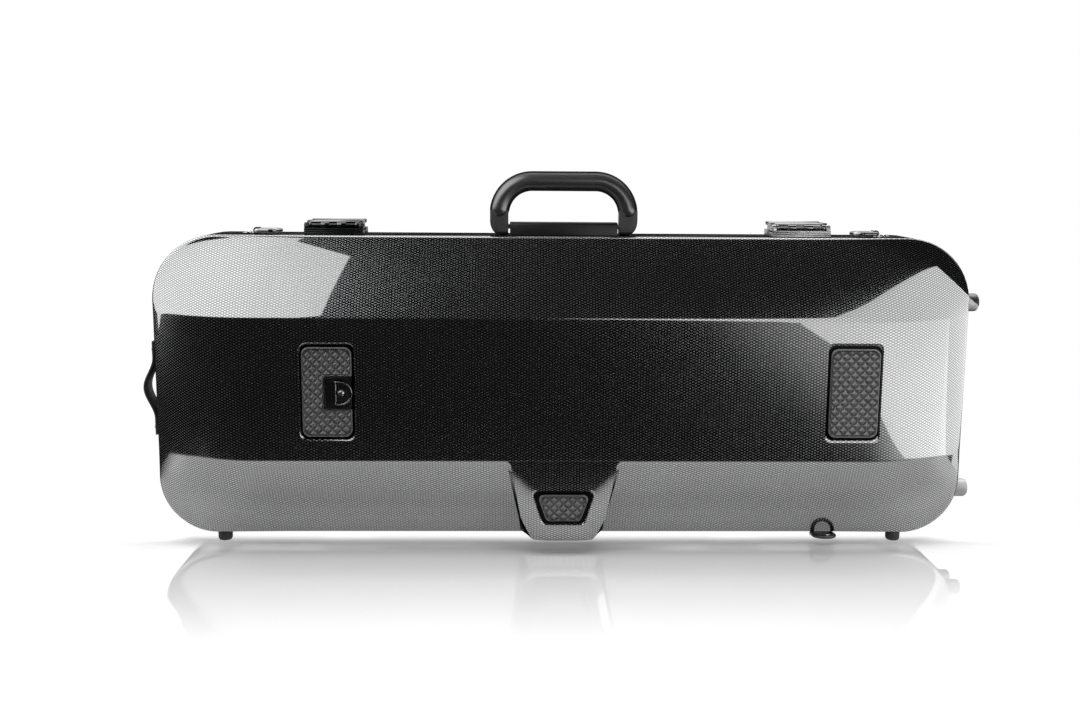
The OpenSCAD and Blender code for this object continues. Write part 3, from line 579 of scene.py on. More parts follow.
def dressed(finish, *nodes):
    """Gives carried-over nodes their finish."""
    for node in nodes:
        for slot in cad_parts[node].material_slots:
            slot.material = finish


HINGE_STEEL = worked_metal("hinge_steel", 0.55, 0.01, 0.28, 0.12)
dressed(HINGE_STEEL, "hinge_base_leaves", "hinge_lid_leaves", "hinge_pins")

# ---------------------------------------------------------------------------------------------
# The feet: four turned rubber feet under the spine, each on a hidden screw, so that the case
# stands on its hinge side.

def circle_points(centre, side, other, radius, steps):
    """Points of a circle in the plane of two directions."""
    turns = [2 * math.pi * k / steps for k in range(steps)]
    return [centre + side * (radius * math.cos(a)) + other * (radius * math.sin(a)) for a in turns]


def tube_faces(rings, steps):
    """Faces of a tube of rings, closed by a cap at each end."""
    faces = []
    for a in range(0, (rings - 1) * steps, steps):
        b = a + steps
        faces += [[a + k, a + (k + 1) % steps, b + (k + 1) % steps, b + k] for k in range(steps)]
    last = (rings - 1) * steps
    return faces + [list(range(steps))[::-1], list(range(last, last + steps))]


def turned(centre, axis, profile, steps=48):
    """A turned solid from (radius, height) pairs along an axis, as points and faces."""
    axis = Vector(axis).normalized()
    side = axis.orthogonal().normalized()
    points = []
    for radius, height in profile:
        points += circle_points(
            Vector(centre) + axis * height, side, axis.cross(side), radius, steps)
    return points, tube_faces(len(profile), steps)


def together(*solids):
    """Several solids' points and faces as one list of each."""
    points, faces = [], []
    for p, f in solids:
        faces += [[k + len(points) for k in face] for face in f]
        points += [tuple(q) for q in p]
    return points, faces


def foot_rubber():
    n = Nodes(bpy.data.materials.new("foot_rubber"))
    grain = n.noise(n.place(), 1.5)
    # the rubber is lighter over its lowest 3.5 mm
    lighter_low = n.add("ShaderNodeSeparateXYZ", {}, {0: n.place()}).other("Z").ramp(0.0, 3.5)
    return n.surface(Base_Color=n.blend(lighter_low, grey(0.045), grey(0.018)), Roughness=0.6,
                     Normal=n.bump(grain, 0.3, 0.1))


FOOT_X, FOOT_Y = BODY_W / 2 - 60, 19.5
FOOT = [(4.6, 0), (5.6, 0.25), (6.3, 0.9), (6.8, 1.8), (7.0, 3.2), (7.0, 8.6), (6.7, 9.1),
        (6.7, 10.3)]
RUBBER_FOOT = foot_rubber()
for name, y, body in (("base_feet", -FOOT_Y, "base"), ("lid_feet", FOOT_Y, "lid")):
    points, faces = together(*(turned((x, y, 0), (0, 0, 1), FOOT) for x in (-FOOT_X, FOOT_X)))
    rides(piece(name + "_turned", points, faces, RUBBER_FOOT, 40), body, "foot_rubber", name)

# ---------------------------------------------------------------------------------------------
# The end studs: brushed aluminium buttons on the right-hand end, a pair on each shell, on which
# the case can be stood or hung. Each is turned, with a rolled edge and a plain face.

STUD_R = 8.75
STUD_PROUD = 12.1
STUD_Y = 15
STUD_HEIGHTS = (238.5, 52.5)
STUD = [(STUD_R - 0.4, -11.0), (STUD_R, -10.6), (STUD_R, -3.4), (8.5, -2.2), (7.9, -1.1),
        (6.9, -0.35), (5.8, 0.0), (2.2, 0.0), (1.9, -0.35), (0.9, -0.5)]
STUD_ALUMINIUM = worked_metal("stud_aluminium", 0.26, 0.0, 0.42, 0.25)
for name, y, body in (("base_end_studs", -STUD_Y, "base"), ("lid_end_studs", STUD_Y, "lid")):
    solids = []
    for height in STUD_HEIGHTS:
        # the foot of a stud follows the curve of the wall
        wall = float(half_width(np.array(height - MIDDLE_Z), 0)) - BODY_W / 2
        solids.append(turned((BODY_W / 2 + STUD_PROUD, y, height), (1, 0, 0),
                             [(r, h if h > -10 else h - 1.2 + wall) for r, h in STUD], 64))
    points, faces = together(*solids)
    rides(piece(name + "_turned", points, faces, STUD_ALUMINIUM, 30), body, "stud_metal", name)

# ---------------------------------------------------------------------------------------------
# The pads on the back: moulded rubber plates with rows of small square studs, bonded into the
# shell's pockets, so that the case can lie on its back. The studs stand corner to corner.

def pad_rubber():
    """Dark grey rubber, dull, with a fine grain and a faint broad change of tone."""
    n = Nodes(bpy.data.materials.new("pad_rubber"))
    at = n.place()
    grain = n.noise(at, 2.2)
    tone = n.noise(at, 0.08).ramp(0.3, 0.7)
    return n.surface(
        Base_Color=n.blend(tone, grey(0.05), grey(0.065, 0.01)),
        Roughness=grain.ramp(0.3, 0.7, 0.34, 0.46),
        Normal=n.bump(grain, 0.2, 0.1), Specular_IOR_Level=0.9)


def geometry_tree(name, sizes, build):
    """A geometry tree with one mesh input and named sizes; build adds what it makes."""
    tree = bpy.data.node_groups.new(name, "GeometryNodeTree")
    tree.interface.new_socket("Geometry", in_out="INPUT", socket_type="NodeSocketGeometry")
    tree.interface.new_socket("Geometry", in_out="OUTPUT", socket_type="NodeSocketGeometry")
    for label, size in sizes.items():
        socket = tree.interface.new_socket(label, in_out="INPUT", socket_type="NodeSocketFloat")
        socket.default_value = size
    n = Nodes(tree)
    made = build(n, n.add("NodeGroupInput"))
    real = n.add("GeometryNodeRealizeInstances", {}, {0: made})
    painted = n.add("GeometryNodeSetMaterial", {}, {"Geometry": real})
    n.add("NodeGroupOutput", {}, {0: painted})
    return tree


def grown(name, tree, obj, finish, **sizes):
    """Runs a geometry tree on obj, with some of its sizes changed, and keeps the plain mesh."""
    modifier = obj.modifiers.new(name, "NODES")
    modifier.node_group = tree
    for item in tree.interface.items_tree:
        if item.name in sizes:
            modifier[item.identifier] = sizes[item.name]
    tree.nodes["Set Material"].inputs["Material"].default_value = finish
    obj.name = name
    return finished(obj)


def loose_points(points):
    """An object of loose points in millimetres, for a geometry tree to build on."""
    mesh = bpy.data.meshes.new("points")
    mesh.from_pydata(placed(points), [], [])
    return added("points", mesh)


def square_studs(n, given):
    stud = n.add("GeometryNodeMeshCone", {"fill_type": "NGON"}, {
        "Vertices": 4, "Radius Top": given.other("Top"), "Radius Bottom": given.other("Base"),
        "Depth": given.other("Height")})
    return n.add("GeometryNodeInstanceOnPoints", {}, {
        "Points": given, "Instance": stud, "Rotation": (math.pi / 2, 0, 0)})


def joined(obj, *others):
    """One object made of several that share a finish."""
    bm = bmesh.new()
    for other in (obj, *others):
        bm.from_mesh(other.data)
    bm.to_mesh(obj.data)
    bm.free()
    for other in others:
        bpy.data.objects.remove(other)
    return obj


def hold_inside(outline, points):
    """Moves points outside a closed outline to the nearest place on it."""
    held = np.array(points)
    a, b = outline, np.roll(outline, -1, axis=0)
    for k in (~inside(outline, held)).nonzero()[0]:
        t = np.clip(((held[k] - a) * (b - a)).sum(1) / ((b - a) ** 2).sum(1), 0, 1)
        near = a + (b - a) * t[:, None]
        held[k] = near[np.hypot(*(near - held[k]).T).argmin()]
    return held


STUDS = geometry_tree("pad_studs", {"Base": 0.0042, "Top": 0.0013, "Height": 0.0019}, square_studs)
STUD_PITCH = 8.7
# the pad's rounded rim: how far out, and how far above the shell
PAD_RIM = ((0, -POCKET_D), (0, 0.9), (-0.25, 1.3), (-0.7, 1.5), (-1.1, 1.2), (-1.4, 0.5))
RUBBER = pad_rubber()


def make_pad(name):
    """The plate with its rounded rim, then its studs, cut off at the rim."""
    base = pad_outline(name, 0, True)
    points, faces, last = [], [], None
    for grow, up in PAD_RIM:
        loop = pad_outline(name, grow, True)
        depth = skin(base[:, 0], base[:, 1], WALL, BOTTOM_FULL, True) + up
        start = len(points)
        points += np.stack([loop[:, 0], -depth, loop[:, 1] + MIDDLE_Z], 1).tolist()
        now = list(range(start, len(points)))
        faces += band(last, now) if last else [now[::-1]]
        last = now
    faces.append(last)
    plate = piece(f"{name}_pad", points, faces, RUBBER, 50)

    x, v = PAD_X.get(name, 0), PAD_V if name in PAD_X else NOSE_PAD_V
    spots = np.array([(x + STUD_PITCH * (i + half), v + STUD_PITCH * (j + half))
                      for half in (0, 0.5) for i in range(-5, 6) for j in range(-6, 7)])
    spots = spots[inside(pad_outline(name, 1.5, True), spots)]
    up = skin(spots[:, 0], spots[:, 1], WALL, BOTTOM_FULL, True) + 0.5
    studs = grown(f"{name}_studs", STUDS, loose_points(
        np.stack([spots[:, 0], -up, spots[:, 1] + MIDDLE_Z], 1)), RUBBER)
    at = np.array([v.co[:] for v in studs.data.vertices]) / MM
    held = hold_inside(pad_outline(name, PAD_RIM[-1][0], True),
                       np.stack([at[:, 0], at[:, 2] - MIDDLE_Z], 1))
    for v, (x, z) in zip(studs.data.vertices, held):
        v.co.x, v.co.z = x * MM, (z + MIDDLE_Z) * MM
    finished(studs, BEVEL={"width": 0.0005, "segments": 2, "limit_method": "ANGLE"})
    shaded(studs.data, 40)
    rides(joined(plate, studs), "base", "pad_rubber", f"pad_{name}")


for name in ("left", "right", "nose"):
    make_pad(name)

# ---------------------------------------------------------------------------------------------
# The ring on the left pad: a black moulded cup let into the pad's edge, with a folded clip on
# two rivets that holds a plated ring, and a domed boss on which the ring rests.

def box_solid(x0, x1, y0, y1, z0, z1):
    """Points and faces of a box."""
    points = [(x, y, z) for x in (x0, x1) for y in (y0, y1) for z in (z0, z1)]
    return points, [(0, 1, 3, 2), (4, 6, 7, 5), (0, 4, 5, 1), (2, 3, 7, 6), (0, 2, 6, 4),
                    (1, 5, 7, 3)]


def combined(obj, operation, *shapes):
    """Adds closed shapes to obj, takes them from it, or keeps what they share with it."""
    for shape in shapes:
        tool = piece("tool", *shape, obj.data.materials[0])
        finished(obj, BOOLEAN={"operation": operation, "object": tool, "solver": "EXACT"})
        bpy.data.objects.remove(tool)
    return obj


def eased(obj, width_mm, segments=2):
    """Rounds every sharp edge."""
    finished(obj, BEVEL={"width": width_mm * MM, "segments": segments, "limit_method": "ANGLE",
                         "angle_limit": math.radians(28), "use_clamp_overlap": True})
    shaded(obj.data, 40)
    return obj


CUP_FLOOR = 77.6
cup_x, cup_z = PAD_X["left"], PAD_V + MIDDLE_Z
CUP_PLASTIC = moulded_plastic("cup_plastic", 0.008, 0.22, 0.05)
cup = piece("ring_cup", *box_solid(
    cup_x - 2.7, cup_x + 22.5, -80.1, -76.4, cup_z - 15.7, cup_z + 14.7), CUP_PLASTIC)
combined(cup, "DIFFERENCE", box_solid(
    cup_x - 1.5, cup_x + 32, -90, -CUP_FLOOR + 0.1, cup_z - 14.3, cup_z + 13.3))
rides(eased(cup, 0.35), "base", "cup_plastic", "pad_ring_cup")

dressed(worked_metal("dark_chrome", 0.2, 0.0, 0.06, 0.02), "pad_ring_clip", "pad_ring")
dressed(worked_metal("bright_plate", 0.72, 0.02, 0.12, 0.05), "pad_ring_boss")

# ---------------------------------------------------------------------------------------------
# The handle: a black moulded bar screwed to the top, and a rubber-covered steel grip that
# swings on two pins through the flat tabs at the foot of its legs.

def swept(path, radii, steps):
    """A round tube of changing radius along a path that lies in one plane of x and z."""
    path = [Vector(p) for p in path]
    points, side = [], Vector((0, 1, 0))
    for i, (p, r) in enumerate(zip(path, radii)):
        ahead = (path[min(i + 1, len(path) - 1)] - path[max(i - 1, 0)]).normalized()
        points += circle_points(p, side, ahead.cross(side), r, steps)
    return points, tube_faces(len(path), steps)


def prism(outline, low, high, axis):
    """A flat outline given depth along x, y or z; the outline holds the other two in order."""
    points = []
    for along in (low, high):
        for a, b in outline:
            points.append({"x": (along, a, b), "y": (a, along, b), "z": (a, b, along)}[axis])
    n = len(outline)
    return points, [list(range(n)), list(range(n, 2 * n))[::-1]] + [
        [k, (k + 1) % n, n + (k + 1) % n, n + k] for k in range(n)]


def around(y, z, r, start, end, steps=9):
    """Points on an arc, for an outline of y and z."""
    return [(y + r * math.cos(a), z + r * math.sin(a))
            for a in np.radians(np.linspace(start, end, steps))]


def grip_rubber():
    """Matte black rubber with a fine leather-like grain, under a coat whose reflection is painted
    away towards the tube's outline.
    """
    n = Nodes(bpy.data.materials.new("grip_rubber"))
    at = n.place()
    grain = n.noise(at, 1.6, 4.0)
    return n.surface(
        Base_Color=n.blend(n.noise(at, 0.06).ramp(0.3, 0.7), grey(0.009), grey(0.014)),
        Roughness=0.5, Normal=n.bump(grain, 0.25, 0.1), Specular_IOR_Level=0.0,
        # painted shade: the coat is kept where the tube turns to the eye and fades out towards its
        # top and bottom edges
        Coat_Weight=1 - n.glance(0.15, 0.5), Coat_Roughness=0.32, Coat_IOR=2.1)


TOP_Z = 301.3
PIVOT_Y, PIVOT_Z = -12.0, 309.9
LEG_X = 61.8
GRIP_R = 9.4
BEND_R = 31.5
GRIP_Z = TOP_Z + 61 - GRIP_R
TUBE_END = GRIP_Z - BEND_R
BAR_HALF = 51.5
TAB_X, TAB_HALF = 62, 6.4

HANDLE_PLASTIC = moulded_plastic("handle_plastic", 0.004, 0.38, 0.3)
TAB_PLASTIC = moulded_plastic("tab_plastic", 0.035, 0.5, 0.5)
GRIP_RUBBER = grip_rubber()

bar_section = rounded_outline(
    [(PIVOT_Y - 9, TOP_Z), (PIVOT_Y + 9, TOP_Z), (PIVOT_Y + 7.5, TOP_Z + 12.7),
     (PIVOT_Y - 7.5, TOP_Z + 12.7)], [0.6, 0.6, 3.0, 3.0])
bar = piece("handle_bar_moulding", *prism(bar_section, -BAR_HALF, BAR_HALF, "x"),
            HANDLE_PLASTIC, 40)
rides(eased(bar, 0.7), "base", "handle_plastic", "handle_bar")
dressed(HINGE_STEEL, "handle_pins")

# each end of the grip is a ball, a little above the end of the bend
start = math.radians(9)
ball = np.radians((82, 74, 65, 55, 45, 35, 25, 12))
bend = [start - GRIP_R * math.sin(a) / BEND_R for a in ball] + list(
    np.linspace(start, math.pi / 2, 24))
radii = [GRIP_R * math.cos(a) for a in ball] + [GRIP_R] * 24
half_path = [(LEG_X - BEND_R + BEND_R * math.cos(a), PIVOT_Y, TUBE_END + BEND_R * math.sin(a))
             for a in bend]
path = half_path + [(-x, y, z) for x, y, z in half_path[::-1]]
grip = piece("grip_tube", *swept(path, radii + radii[::-1], 48), GRIP_RUBBER, 50)

tabs = []
tab_in, tab_out, head, foot = BAR_HALF + 1.6, LEG_X + GRIP_R - 0.6, TUBE_END + 4, TOP_Z + 0.4
swing = PIVOT_Z - foot
clear = around(PIVOT_Y, PIVOT_Z, swing, 180, 360, 25) + [
    (PIVOT_Y + swing, head + 1), (PIVOT_Y - swing, head + 1)]
for s in (-1, 1):
    outline = [(tab_in, head), (tab_out, head)]
    outline += [(tab_out - 9.7 * (1 - math.cos(a)), foot + 14 * (1 - math.sin(a)))
                for a in np.radians(np.linspace(0, 90, 13))]
    outline += [(tab_in + 1, foot), (tab_in, foot + 1)]
    outline = [(s * x, z) for x, z in outline]
    tab = piece("tab", *prism(outline, PIVOT_Y - TAB_HALF, PIVOT_Y + TAB_HALF, "y"), TAB_PLASTIC)
    combined(tab, "INTERSECT", prism(clear, s * TAB_X - 15, s * TAB_X + 15, "x"))
    tabs.append(eased(tab, 0.8, 3))
grip_foot = tabs[0]
joined(grip_foot, tabs[1])
grip_foot.name = "grip_tabs"
rides(grip, "handle", "grip_rubber", "handle_grip")
rides(grip_foot, "handle", "handle_plastic", "handle_grip")

# ---------------------------------------------------------------------------------------------
# The latches: zinc castings with two grooves along the front. A lever turns on a steel pin
# between two ears, and its tab snaps down behind a keeper on the lid. The left one is gunmetal,
# the right one polished.

LATCHES = {"left": -219.5, "right": 228.5}
LATCH_SLOT = {"left": "dark_metal", "right": "bright_metal"}
LATCH_HALF = 28.0
EAR_T = 4.0
LEVER_Y, LEVER_Z = -15.5, TOP_Z + 8.9
LEVER_HALF = LATCH_HALF - EAR_T - 0.3
LATCH_FINISH = {"left": worked_metal("gunmetal", 0.045, -0.02, 0.26, 0.08),
                "right": worked_metal("latch_chrome", 0.45, 0.0, 0.26, 0.02)}
LEVER_FINISH = {"left": worked_metal("polished_gunmetal", 0.12, -0.02, 0.06, 0.02),
                "right": worked_metal("polished_chrome", 0.26, 0.0, 0.05, 0.01)}


def solid(shape, finish, ease=0.3, name="block"):
    """A piece from points and faces, its edges eased."""
    return eased(piece(name, *shape, finish), ease)


LATCH_FRONT, LATCH_BACK, LATCH_H = -22, -2, 6     # the casting's section
GROOVE_D, GROOVE_W = 0.8, 0.9

for name, x in LATCHES.items():
    finish = LATCH_FINISH[name]
    block = [(LATCH_FRONT, TOP_Z)]
    for low in (TOP_Z + 1.8, TOP_Z + 3.8):
        block += [(LATCH_FRONT, low), (LATCH_FRONT + GROOVE_D, low),
                  (LATCH_FRONT + GROOVE_D, low + GROOVE_W), (LATCH_FRONT, low + GROOVE_W)]
    block += [(LATCH_FRONT, TOP_Z + LATCH_H), (LATCH_BACK, TOP_Z + LATCH_H), (LATCH_BACK, TOP_Z)]
    parts = [solid(prism(block, x - LATCH_HALF, x + LATCH_HALF, "x"), finish, 0.25,
                   f"latch_block_{name}")]
    ear = [(LATCH_BACK, TOP_Z + 4), (LATCH_BACK, LEVER_Z - 1), (-3, LEVER_Z)]
    ear += around(LEVER_Y, LEVER_Z, 2.6, 0, 180)
    ear += [(-19.4, LEVER_Z), (-20, LEVER_Z - 0.6), (-20, TOP_Z + 4)]
    for s in (-1, 1):
        middle = x + s * (LATCH_HALF - EAR_T / 2)
        parts.append(solid(prism(ear, middle - EAR_T / 2, middle + EAR_T / 2, "x"), finish, 0.3))
    rides(joined(*parts), "base", LATCH_SLOT[name], f"latch_base_{name}")

    finish = LEVER_FINISH[name]
    knuckles = [(-LEVER_HALF, -21.6), (-12.5, -4.8), (2.8, 11.5), (20.2, LEVER_HALF)]
    wide = LATCH_HALF - 1.5
    parts = [solid(turned((x + a, LEVER_Y, LEVER_Z), (1, 0, 0), [(2.7, 0), (2.7, b - a)], 32),
                   finish, 0.2, f"latch_lever_shape_{name}") for a, b in knuckles]
    parts.append(solid(box_solid(x - LEVER_HALF, x + LEVER_HALF, LEVER_Y, LEVER_Y + 4.2,
                                 LEVER_Z + 1.6, LEVER_Z + 3.4), finish, 0.4))
    top = [(LEVER_Y + 3.2, LEVER_Z + 1), (LEVER_Y + 3.2, LEVER_Z + 3.4), (17.6, LEVER_Z + 3.4),
           (19.4, LEVER_Z + 4.6), (22, LEVER_Z + 4.6), (22, LEVER_Z + 2), (21.6, LEVER_Z + 1)]
    parts.append(solid(prism(top, x - wide, x + wide, "x"), finish, 0.5))
    parts.append(solid(box_solid(x - LEVER_HALF, x + LEVER_HALF, 19.2, 21.6,
                                 TOP_Z + 1.4, LEVER_Z + 1.6), finish, 0.5))
    for s in (-1, 1):
        middle = x + s * (wide - 1.2)
        parts.append(solid(box_solid(middle - 1.2, middle + 1.2, LEVER_Y + 4, 20.5,
                                     LEVER_Z + 2, LEVER_Z + 4.2), finish, 0.5))
    rides(joined(*parts), f"latch_lever_{name}", LATCH_SLOT[name], f"latch_lever_{name}")
    dressed(finish, f"latch_pin_{name}")

# ---------------------------------------------------------------------------------------------
# The strap rings: pressed steel lugs with a rolled knuckle, each held by one screw, and D-rings
# of drawn bar that turn in them. The two on top have nickel-plated lugs and dark plated rings,
# and the one under the spine is black all over.

BLACK_PLATE = worked_metal("black_plate", 0.06, 0.0, 0.25, 0.05)
BLACK_LUG = worked_metal("black_lug", 0.05, 0.0, 0.3, 0.05)
NICKEL = worked_metal("nickel", 0.7, 0.02, 0.06, 0.03)
dressed(NICKEL, "lug_top_left", "lug_top_right", "lug_screws")
dressed(worked_metal("dark_plate", 0.3, 0.0, 0.04, 0.02), "ring_top_left", "ring_top_right")
dressed(BLACK_LUG, "lug_bottom")
dressed(BLACK_PLATE, "ring_bottom")

# ---------------------------------------------------------------------------------------------
# The end strap: a bridle-leather carrying strap that arches off the left-hand end. It is stitched
# along both edges and held by two rivets at each end.

STRAP_X = -BODY_W / 2
STRAP_Y = -16.0
STRAP_MID, STRAP_HALF, STRAP_TAIL = 153.0, 30.0, 16.0
STRAP_W, STRAP_T, STRAP_REACH = 22.0, 2.4, 12.1


def strap_leather():
    n = Nodes(bpy.data.materials.new("strap_leather"))
    at = n.place()
    pores = n.add("ShaderNodeTexVoronoi", {"feature": "DISTANCE_TO_EDGE"},
                  {"Vector": at, "Scale": 1.1})
    grain = pores.ramp(0.0, 0.35)
    return n.surface(
        Base_Color=n.blend(grain, grey(0.008), grey(0.016)),
        Roughness=n.noise(at, 0.3).ramp(0.3, 0.7, 0.38, 0.5), Normal=n.bump(grain, 0.3, 0.15))


def arch(s):
    """How far the strap stands off the wall, at a height from its middle."""
    swell = (1 + np.cos(np.pi * s / STRAP_HALF)) / 2
    return (STRAP_REACH - STRAP_T) * swell * (np.abs(s) < STRAP_HALF)


LEATHER = strap_leather()
run = np.concatenate([[-STRAP_HALF - STRAP_TAIL], np.linspace(-STRAP_HALF, STRAP_HALF, 41),
                      [STRAP_HALF + STRAP_TAIL]])
outer = [(STRAP_X - arch(s) - STRAP_T, STRAP_MID + s) for s in run]
inner = [(STRAP_X - arch(s), STRAP_MID + s) for s in run[::-1]]
strap = solid(prism(outer + inner, STRAP_Y - STRAP_W / 2, STRAP_Y + STRAP_W / 2, "y"),
              LEATHER, 0.7, "strap_band")


def stitches(n, given):
    stitch = n.add("GeometryNodeMeshCylinder", {}, {
        "Vertices": 10, "Radius": given.other("Thread"), "Depth": given.other("Length")})
    along = n.add("GeometryNodeInputNamedAttribute", {"data_type": "FLOAT_VECTOR"},
                  {"Name": "along"})
    turn = n.add("FunctionNodeAlignRotationToVector", {"axis": "Z"}, {"Vector": along})
    return n.add("GeometryNodeInstanceOnPoints", {}, {
        "Points": given, "Instance": stitch, "Rotation": turn})


def fabric_thread(name, tone):
    n = Nodes(bpy.data.materials.new(name))
    twist = n.noise(n.place((1, 1, 4)), 2.0)
    return n.surface(Base_Color=n.blend(twist.ramp(0.3, 0.7), grey(tone * 0.7), grey(tone)),
                     Roughness=0.8, Normal=n.bump(twist, 0.4, 0.1))


THREAD = fabric_thread("strap_thread", 0.03)
STITCHES = geometry_tree("stitches", {"Thread": 0.0004, "Length": 0.003}, stitches)
STITCH_PITCH, STITCH_LINE = 4.0, 8.6  # along the strap, and from its middle
s = np.arange(-STRAP_HALF - STRAP_TAIL + 3, STRAP_HALF + STRAP_TAIL - 2, STITCH_PITCH)
spots = np.array([(STRAP_X - arch(a) - STRAP_T - 0.1, STRAP_Y + side * STITCH_LINE, STRAP_MID + a)
                  for side in (-1, 1) for a in s])
lead = np.array([(-(arch(a + 0.5) - arch(a - 0.5)), 0, 1.0) for side in (-1, 1) for a in s])
rows = loose_points(spots)
store(rows.data, "along", lead)
rides(strap, "base", "strap_leather", "end_strap")
rides(grown("strap_stitches", STITCHES, rows, THREAD), "base", "strap_leather", "end_strap")
dressed(HINGE_STEEL, "end_strap_rivets")

# ---------------------------------------------------------------------------------------------
# The tray: a moulded foam insert covered in dark grey velour, glued into the bottom shell. It
# has the hollow for the instrument, the neck channel, a well for the scroll and three pockets.

def velour(name, low, high):
    """Soft pile with faint brushed patches; its colour is painted lighter where it leans away from
    the eye, a painted sheen.
    """
    n = Nodes(bpy.data.materials.new(name))
    at = n.place()
    patches = n.noise(at, 0.035, 2.0).ramp(0.35, 0.65)
    pile = n.noise(at, 2.6, 5.0)
    # painted sheen: the colour grows lighter as the surface turns away from the eye
    edge = n.add("ShaderNodeLayerWeight", {}, {"Blend": 0.35}, output="Facing")
    return n.surface(
        Base_Color=n.blend(patches * 0.35 + edge * 0.5, grey(low), grey(high, 0.01)),
        Roughness=0.9, Specular_IOR_Level=0.15, Sheen_Weight=0.35, Sheen_Roughness=0.4,
        Normal=n.bump(pile, 0.45, 0.35))


TRAY_TOP = 2.6
TRAY_INSET = SHELL_T + 2.6
WIDE_X, NARROW_X, SCROLL_X = BODY_W / 2 - 157, BODY_W / 2 - 322, BODY_W / 2 - 607
WELL = 42.0
NECK_HALF = 42.0
BOX_D = 34            # depth of the three pockets
FOAM_T = 3.6          # wall of foam round each hollow
BOX_X0, BOX_X1, BOX_V0, BOX_V1 = NARROW_X - 270, NARROW_X - 100, 44.0, 102.0


def upright(outline, low, high):
    """A prism along Y from an outline of x and height above the middle of the shells."""
    return prism([(x, v + MIDDLE_Z) for x, v in outline], low, high, "y")


def circle(x, v, r, steps=72):
    a = np.linspace(0, 2 * math.pi, steps, endpoint=False)
    return [(x + r * math.cos(k), v + r * math.sin(k)) for k in a]


def rect(x0, x1, v0, v1, r=0.0):
    corners = [(x0, v0), (x1, v0), (x1, v1), (x0, v1)]
    return rounded_outline(corners, r) if r else corners


def hollows(g):
    """The tray's hollows, each a flat outline with a depth, all grown by a wall g."""
    flat = [
        (circle(WIDE_X, 0, 105 + g), WELL), (circle(NARROW_X, 0, 88 + g), WELL),
        (rect(NARROW_X, WIDE_X, -72 - g, 72 + g), WELL),
        (circle(WIDE_X, 0, 71 + g), WELL + 18), (circle(NARROW_X, 0, 54 + g), WELL + 18),
        (rect(NARROW_X, WIDE_X, -38 - g, 38 + g), WELL + 18),
        (rect(SCROLL_X, NARROW_X, -NECK_HALF - g, NECK_HALF + g), WELL - 6),
        (circle(SCROLL_X, 0, 46 + g), WELL + 8),
        (rect(-BODY_W / 2 + 40 - g, -BODY_W / 2 + 102 + g, -74 - g, 74 + g), BOX_D),
        (rect(BOX_X0 - g, BOX_X1 + g, BOX_V0 - g, BOX_V1 + g), BOX_D),
        (rect(BOX_X0 - g, BOX_X1 + g, -BOX_V1 - g, -BOX_V0 + g), BOX_D)]
    return [upright(outline, -depth - g, 5.0 - g) for outline, depth in flat]


def softened(obj, size_mm, smooth):
    """Remeshes a piece evenly and lets its edges go round."""
    finished(obj, REMESH={"mode": "VOXEL", "voxel_size": size_mm * MM},
             SMOOTH={"factor": 0.5, "iterations": smooth})
    obj.data.shade_smooth()
    return obj


VELOUR = velour("velour", 0.028, 0.085)
tray = piece("velour_tray", *upright(outline_loop(TRAY_INSET), -TRAY_TOP - 6.4, -TRAY_TOP), VELOUR)
combined(tray, "UNION", *hollows(FOAM_T))
above = upright(rect(-420, 420, -170, 170), -TRAY_TOP, 20.0)
recess = upright(rect(BOX_X0 - 4, BOX_X1 + 4, -BOX_V1 - 4, -BOX_V0 + 2), -TRAY_TOP - 3.3, 5.0)
combined(tray, "DIFFERENCE", *hollows(0), recess, above)
softened(tray, 2.4, 3)
rides(tray, "base", "lining", "foam_tray")

# ---------------------------------------------------------------------------------------------
# The soft blocks that carry the instrument: two suspension pads in the hollow, and a cradle with
# a round notch for the neck. Each is foam in a sewn velour cover, so its faces bulge a little.

PAD_VELOUR = velour("pad_velour", 0.045, 0.12)
BULGE = 2.0           # how far a cover may swell
CLOTH_FRAMES = 20


def cushion(name, node, shape):
    """A block remeshed, blown up as cloth with its movement capped, then subdivided."""
    obj = piece(name, *shape, PAD_VELOUR)
    finished(obj, REMESH={"mode": "VOXEL", "voxel_size": 4 * MM})
    start = np.array([v.co[:] for v in obj.data.vertices])
    cloth = obj.modifiers.new("cloth", "CLOTH")
    cloth.settings.use_pressure = True
    cloth.settings.uniform_pressure_force = 4.0
    cloth.settings.effector_weights.gravity = 0.0
    cloth.point_cache.frame_start, cloth.point_cache.frame_end = 1, CLOTH_FRAMES
    for moment in range(1, CLOTH_FRAMES + 1):
        bpy.context.scene.frame_set(moment)
    finished(obj)
    bpy.context.scene.frame_set(1)
    step = np.array([v.co[:] for v in obj.data.vertices]) - start
    length = np.linalg.norm(step, axis=1, keepdims=True)
    held = start + step * np.minimum(1, BULGE * MM / np.maximum(length, 1e-9))
    obj.data.vertices.foreach_set("co", held.ravel())
    finished(obj, SMOOTH={"factor": 0.5, "iterations": 2},
             SUBSURF={"levels": 1, "render_levels": 1})
    obj.data.shade_smooth()
    rides(obj, "base", "lining", node)


for name, x0, x1, v in (("wide", WIDE_X + 28, WIDE_X + 56, 34),
                        ("narrow", NARROW_X - 42, NARROW_X - 12, 28)):
    cushion(f"{name}_pad_cover", f"suspension_pad_{name}", upright(
        rect(x0 + BULGE, x1 - BULGE, BULGE - v, v - BULGE, 4), -WELL - 16, -WELL + 3.5))

CRADLE_X = NARROW_X - 190
notch = [(-17.5 * math.cos(a), -9 - 18.5 * math.sin(a))
         for a in np.linspace(0.15, math.pi - 0.15, 21)]
side = NECK_HALF - 2
outline = [(-side, -14.5)] + notch + [(side, -14.5), (side, -WELL + 8), (-side, -WELL + 8)]
cushion("cradle_cover", "neck_cradle", prism(
    [(y, v + MIDDLE_Z) for v, y in outline], CRADLE_X - 12, CRADLE_X + 12, "x"))


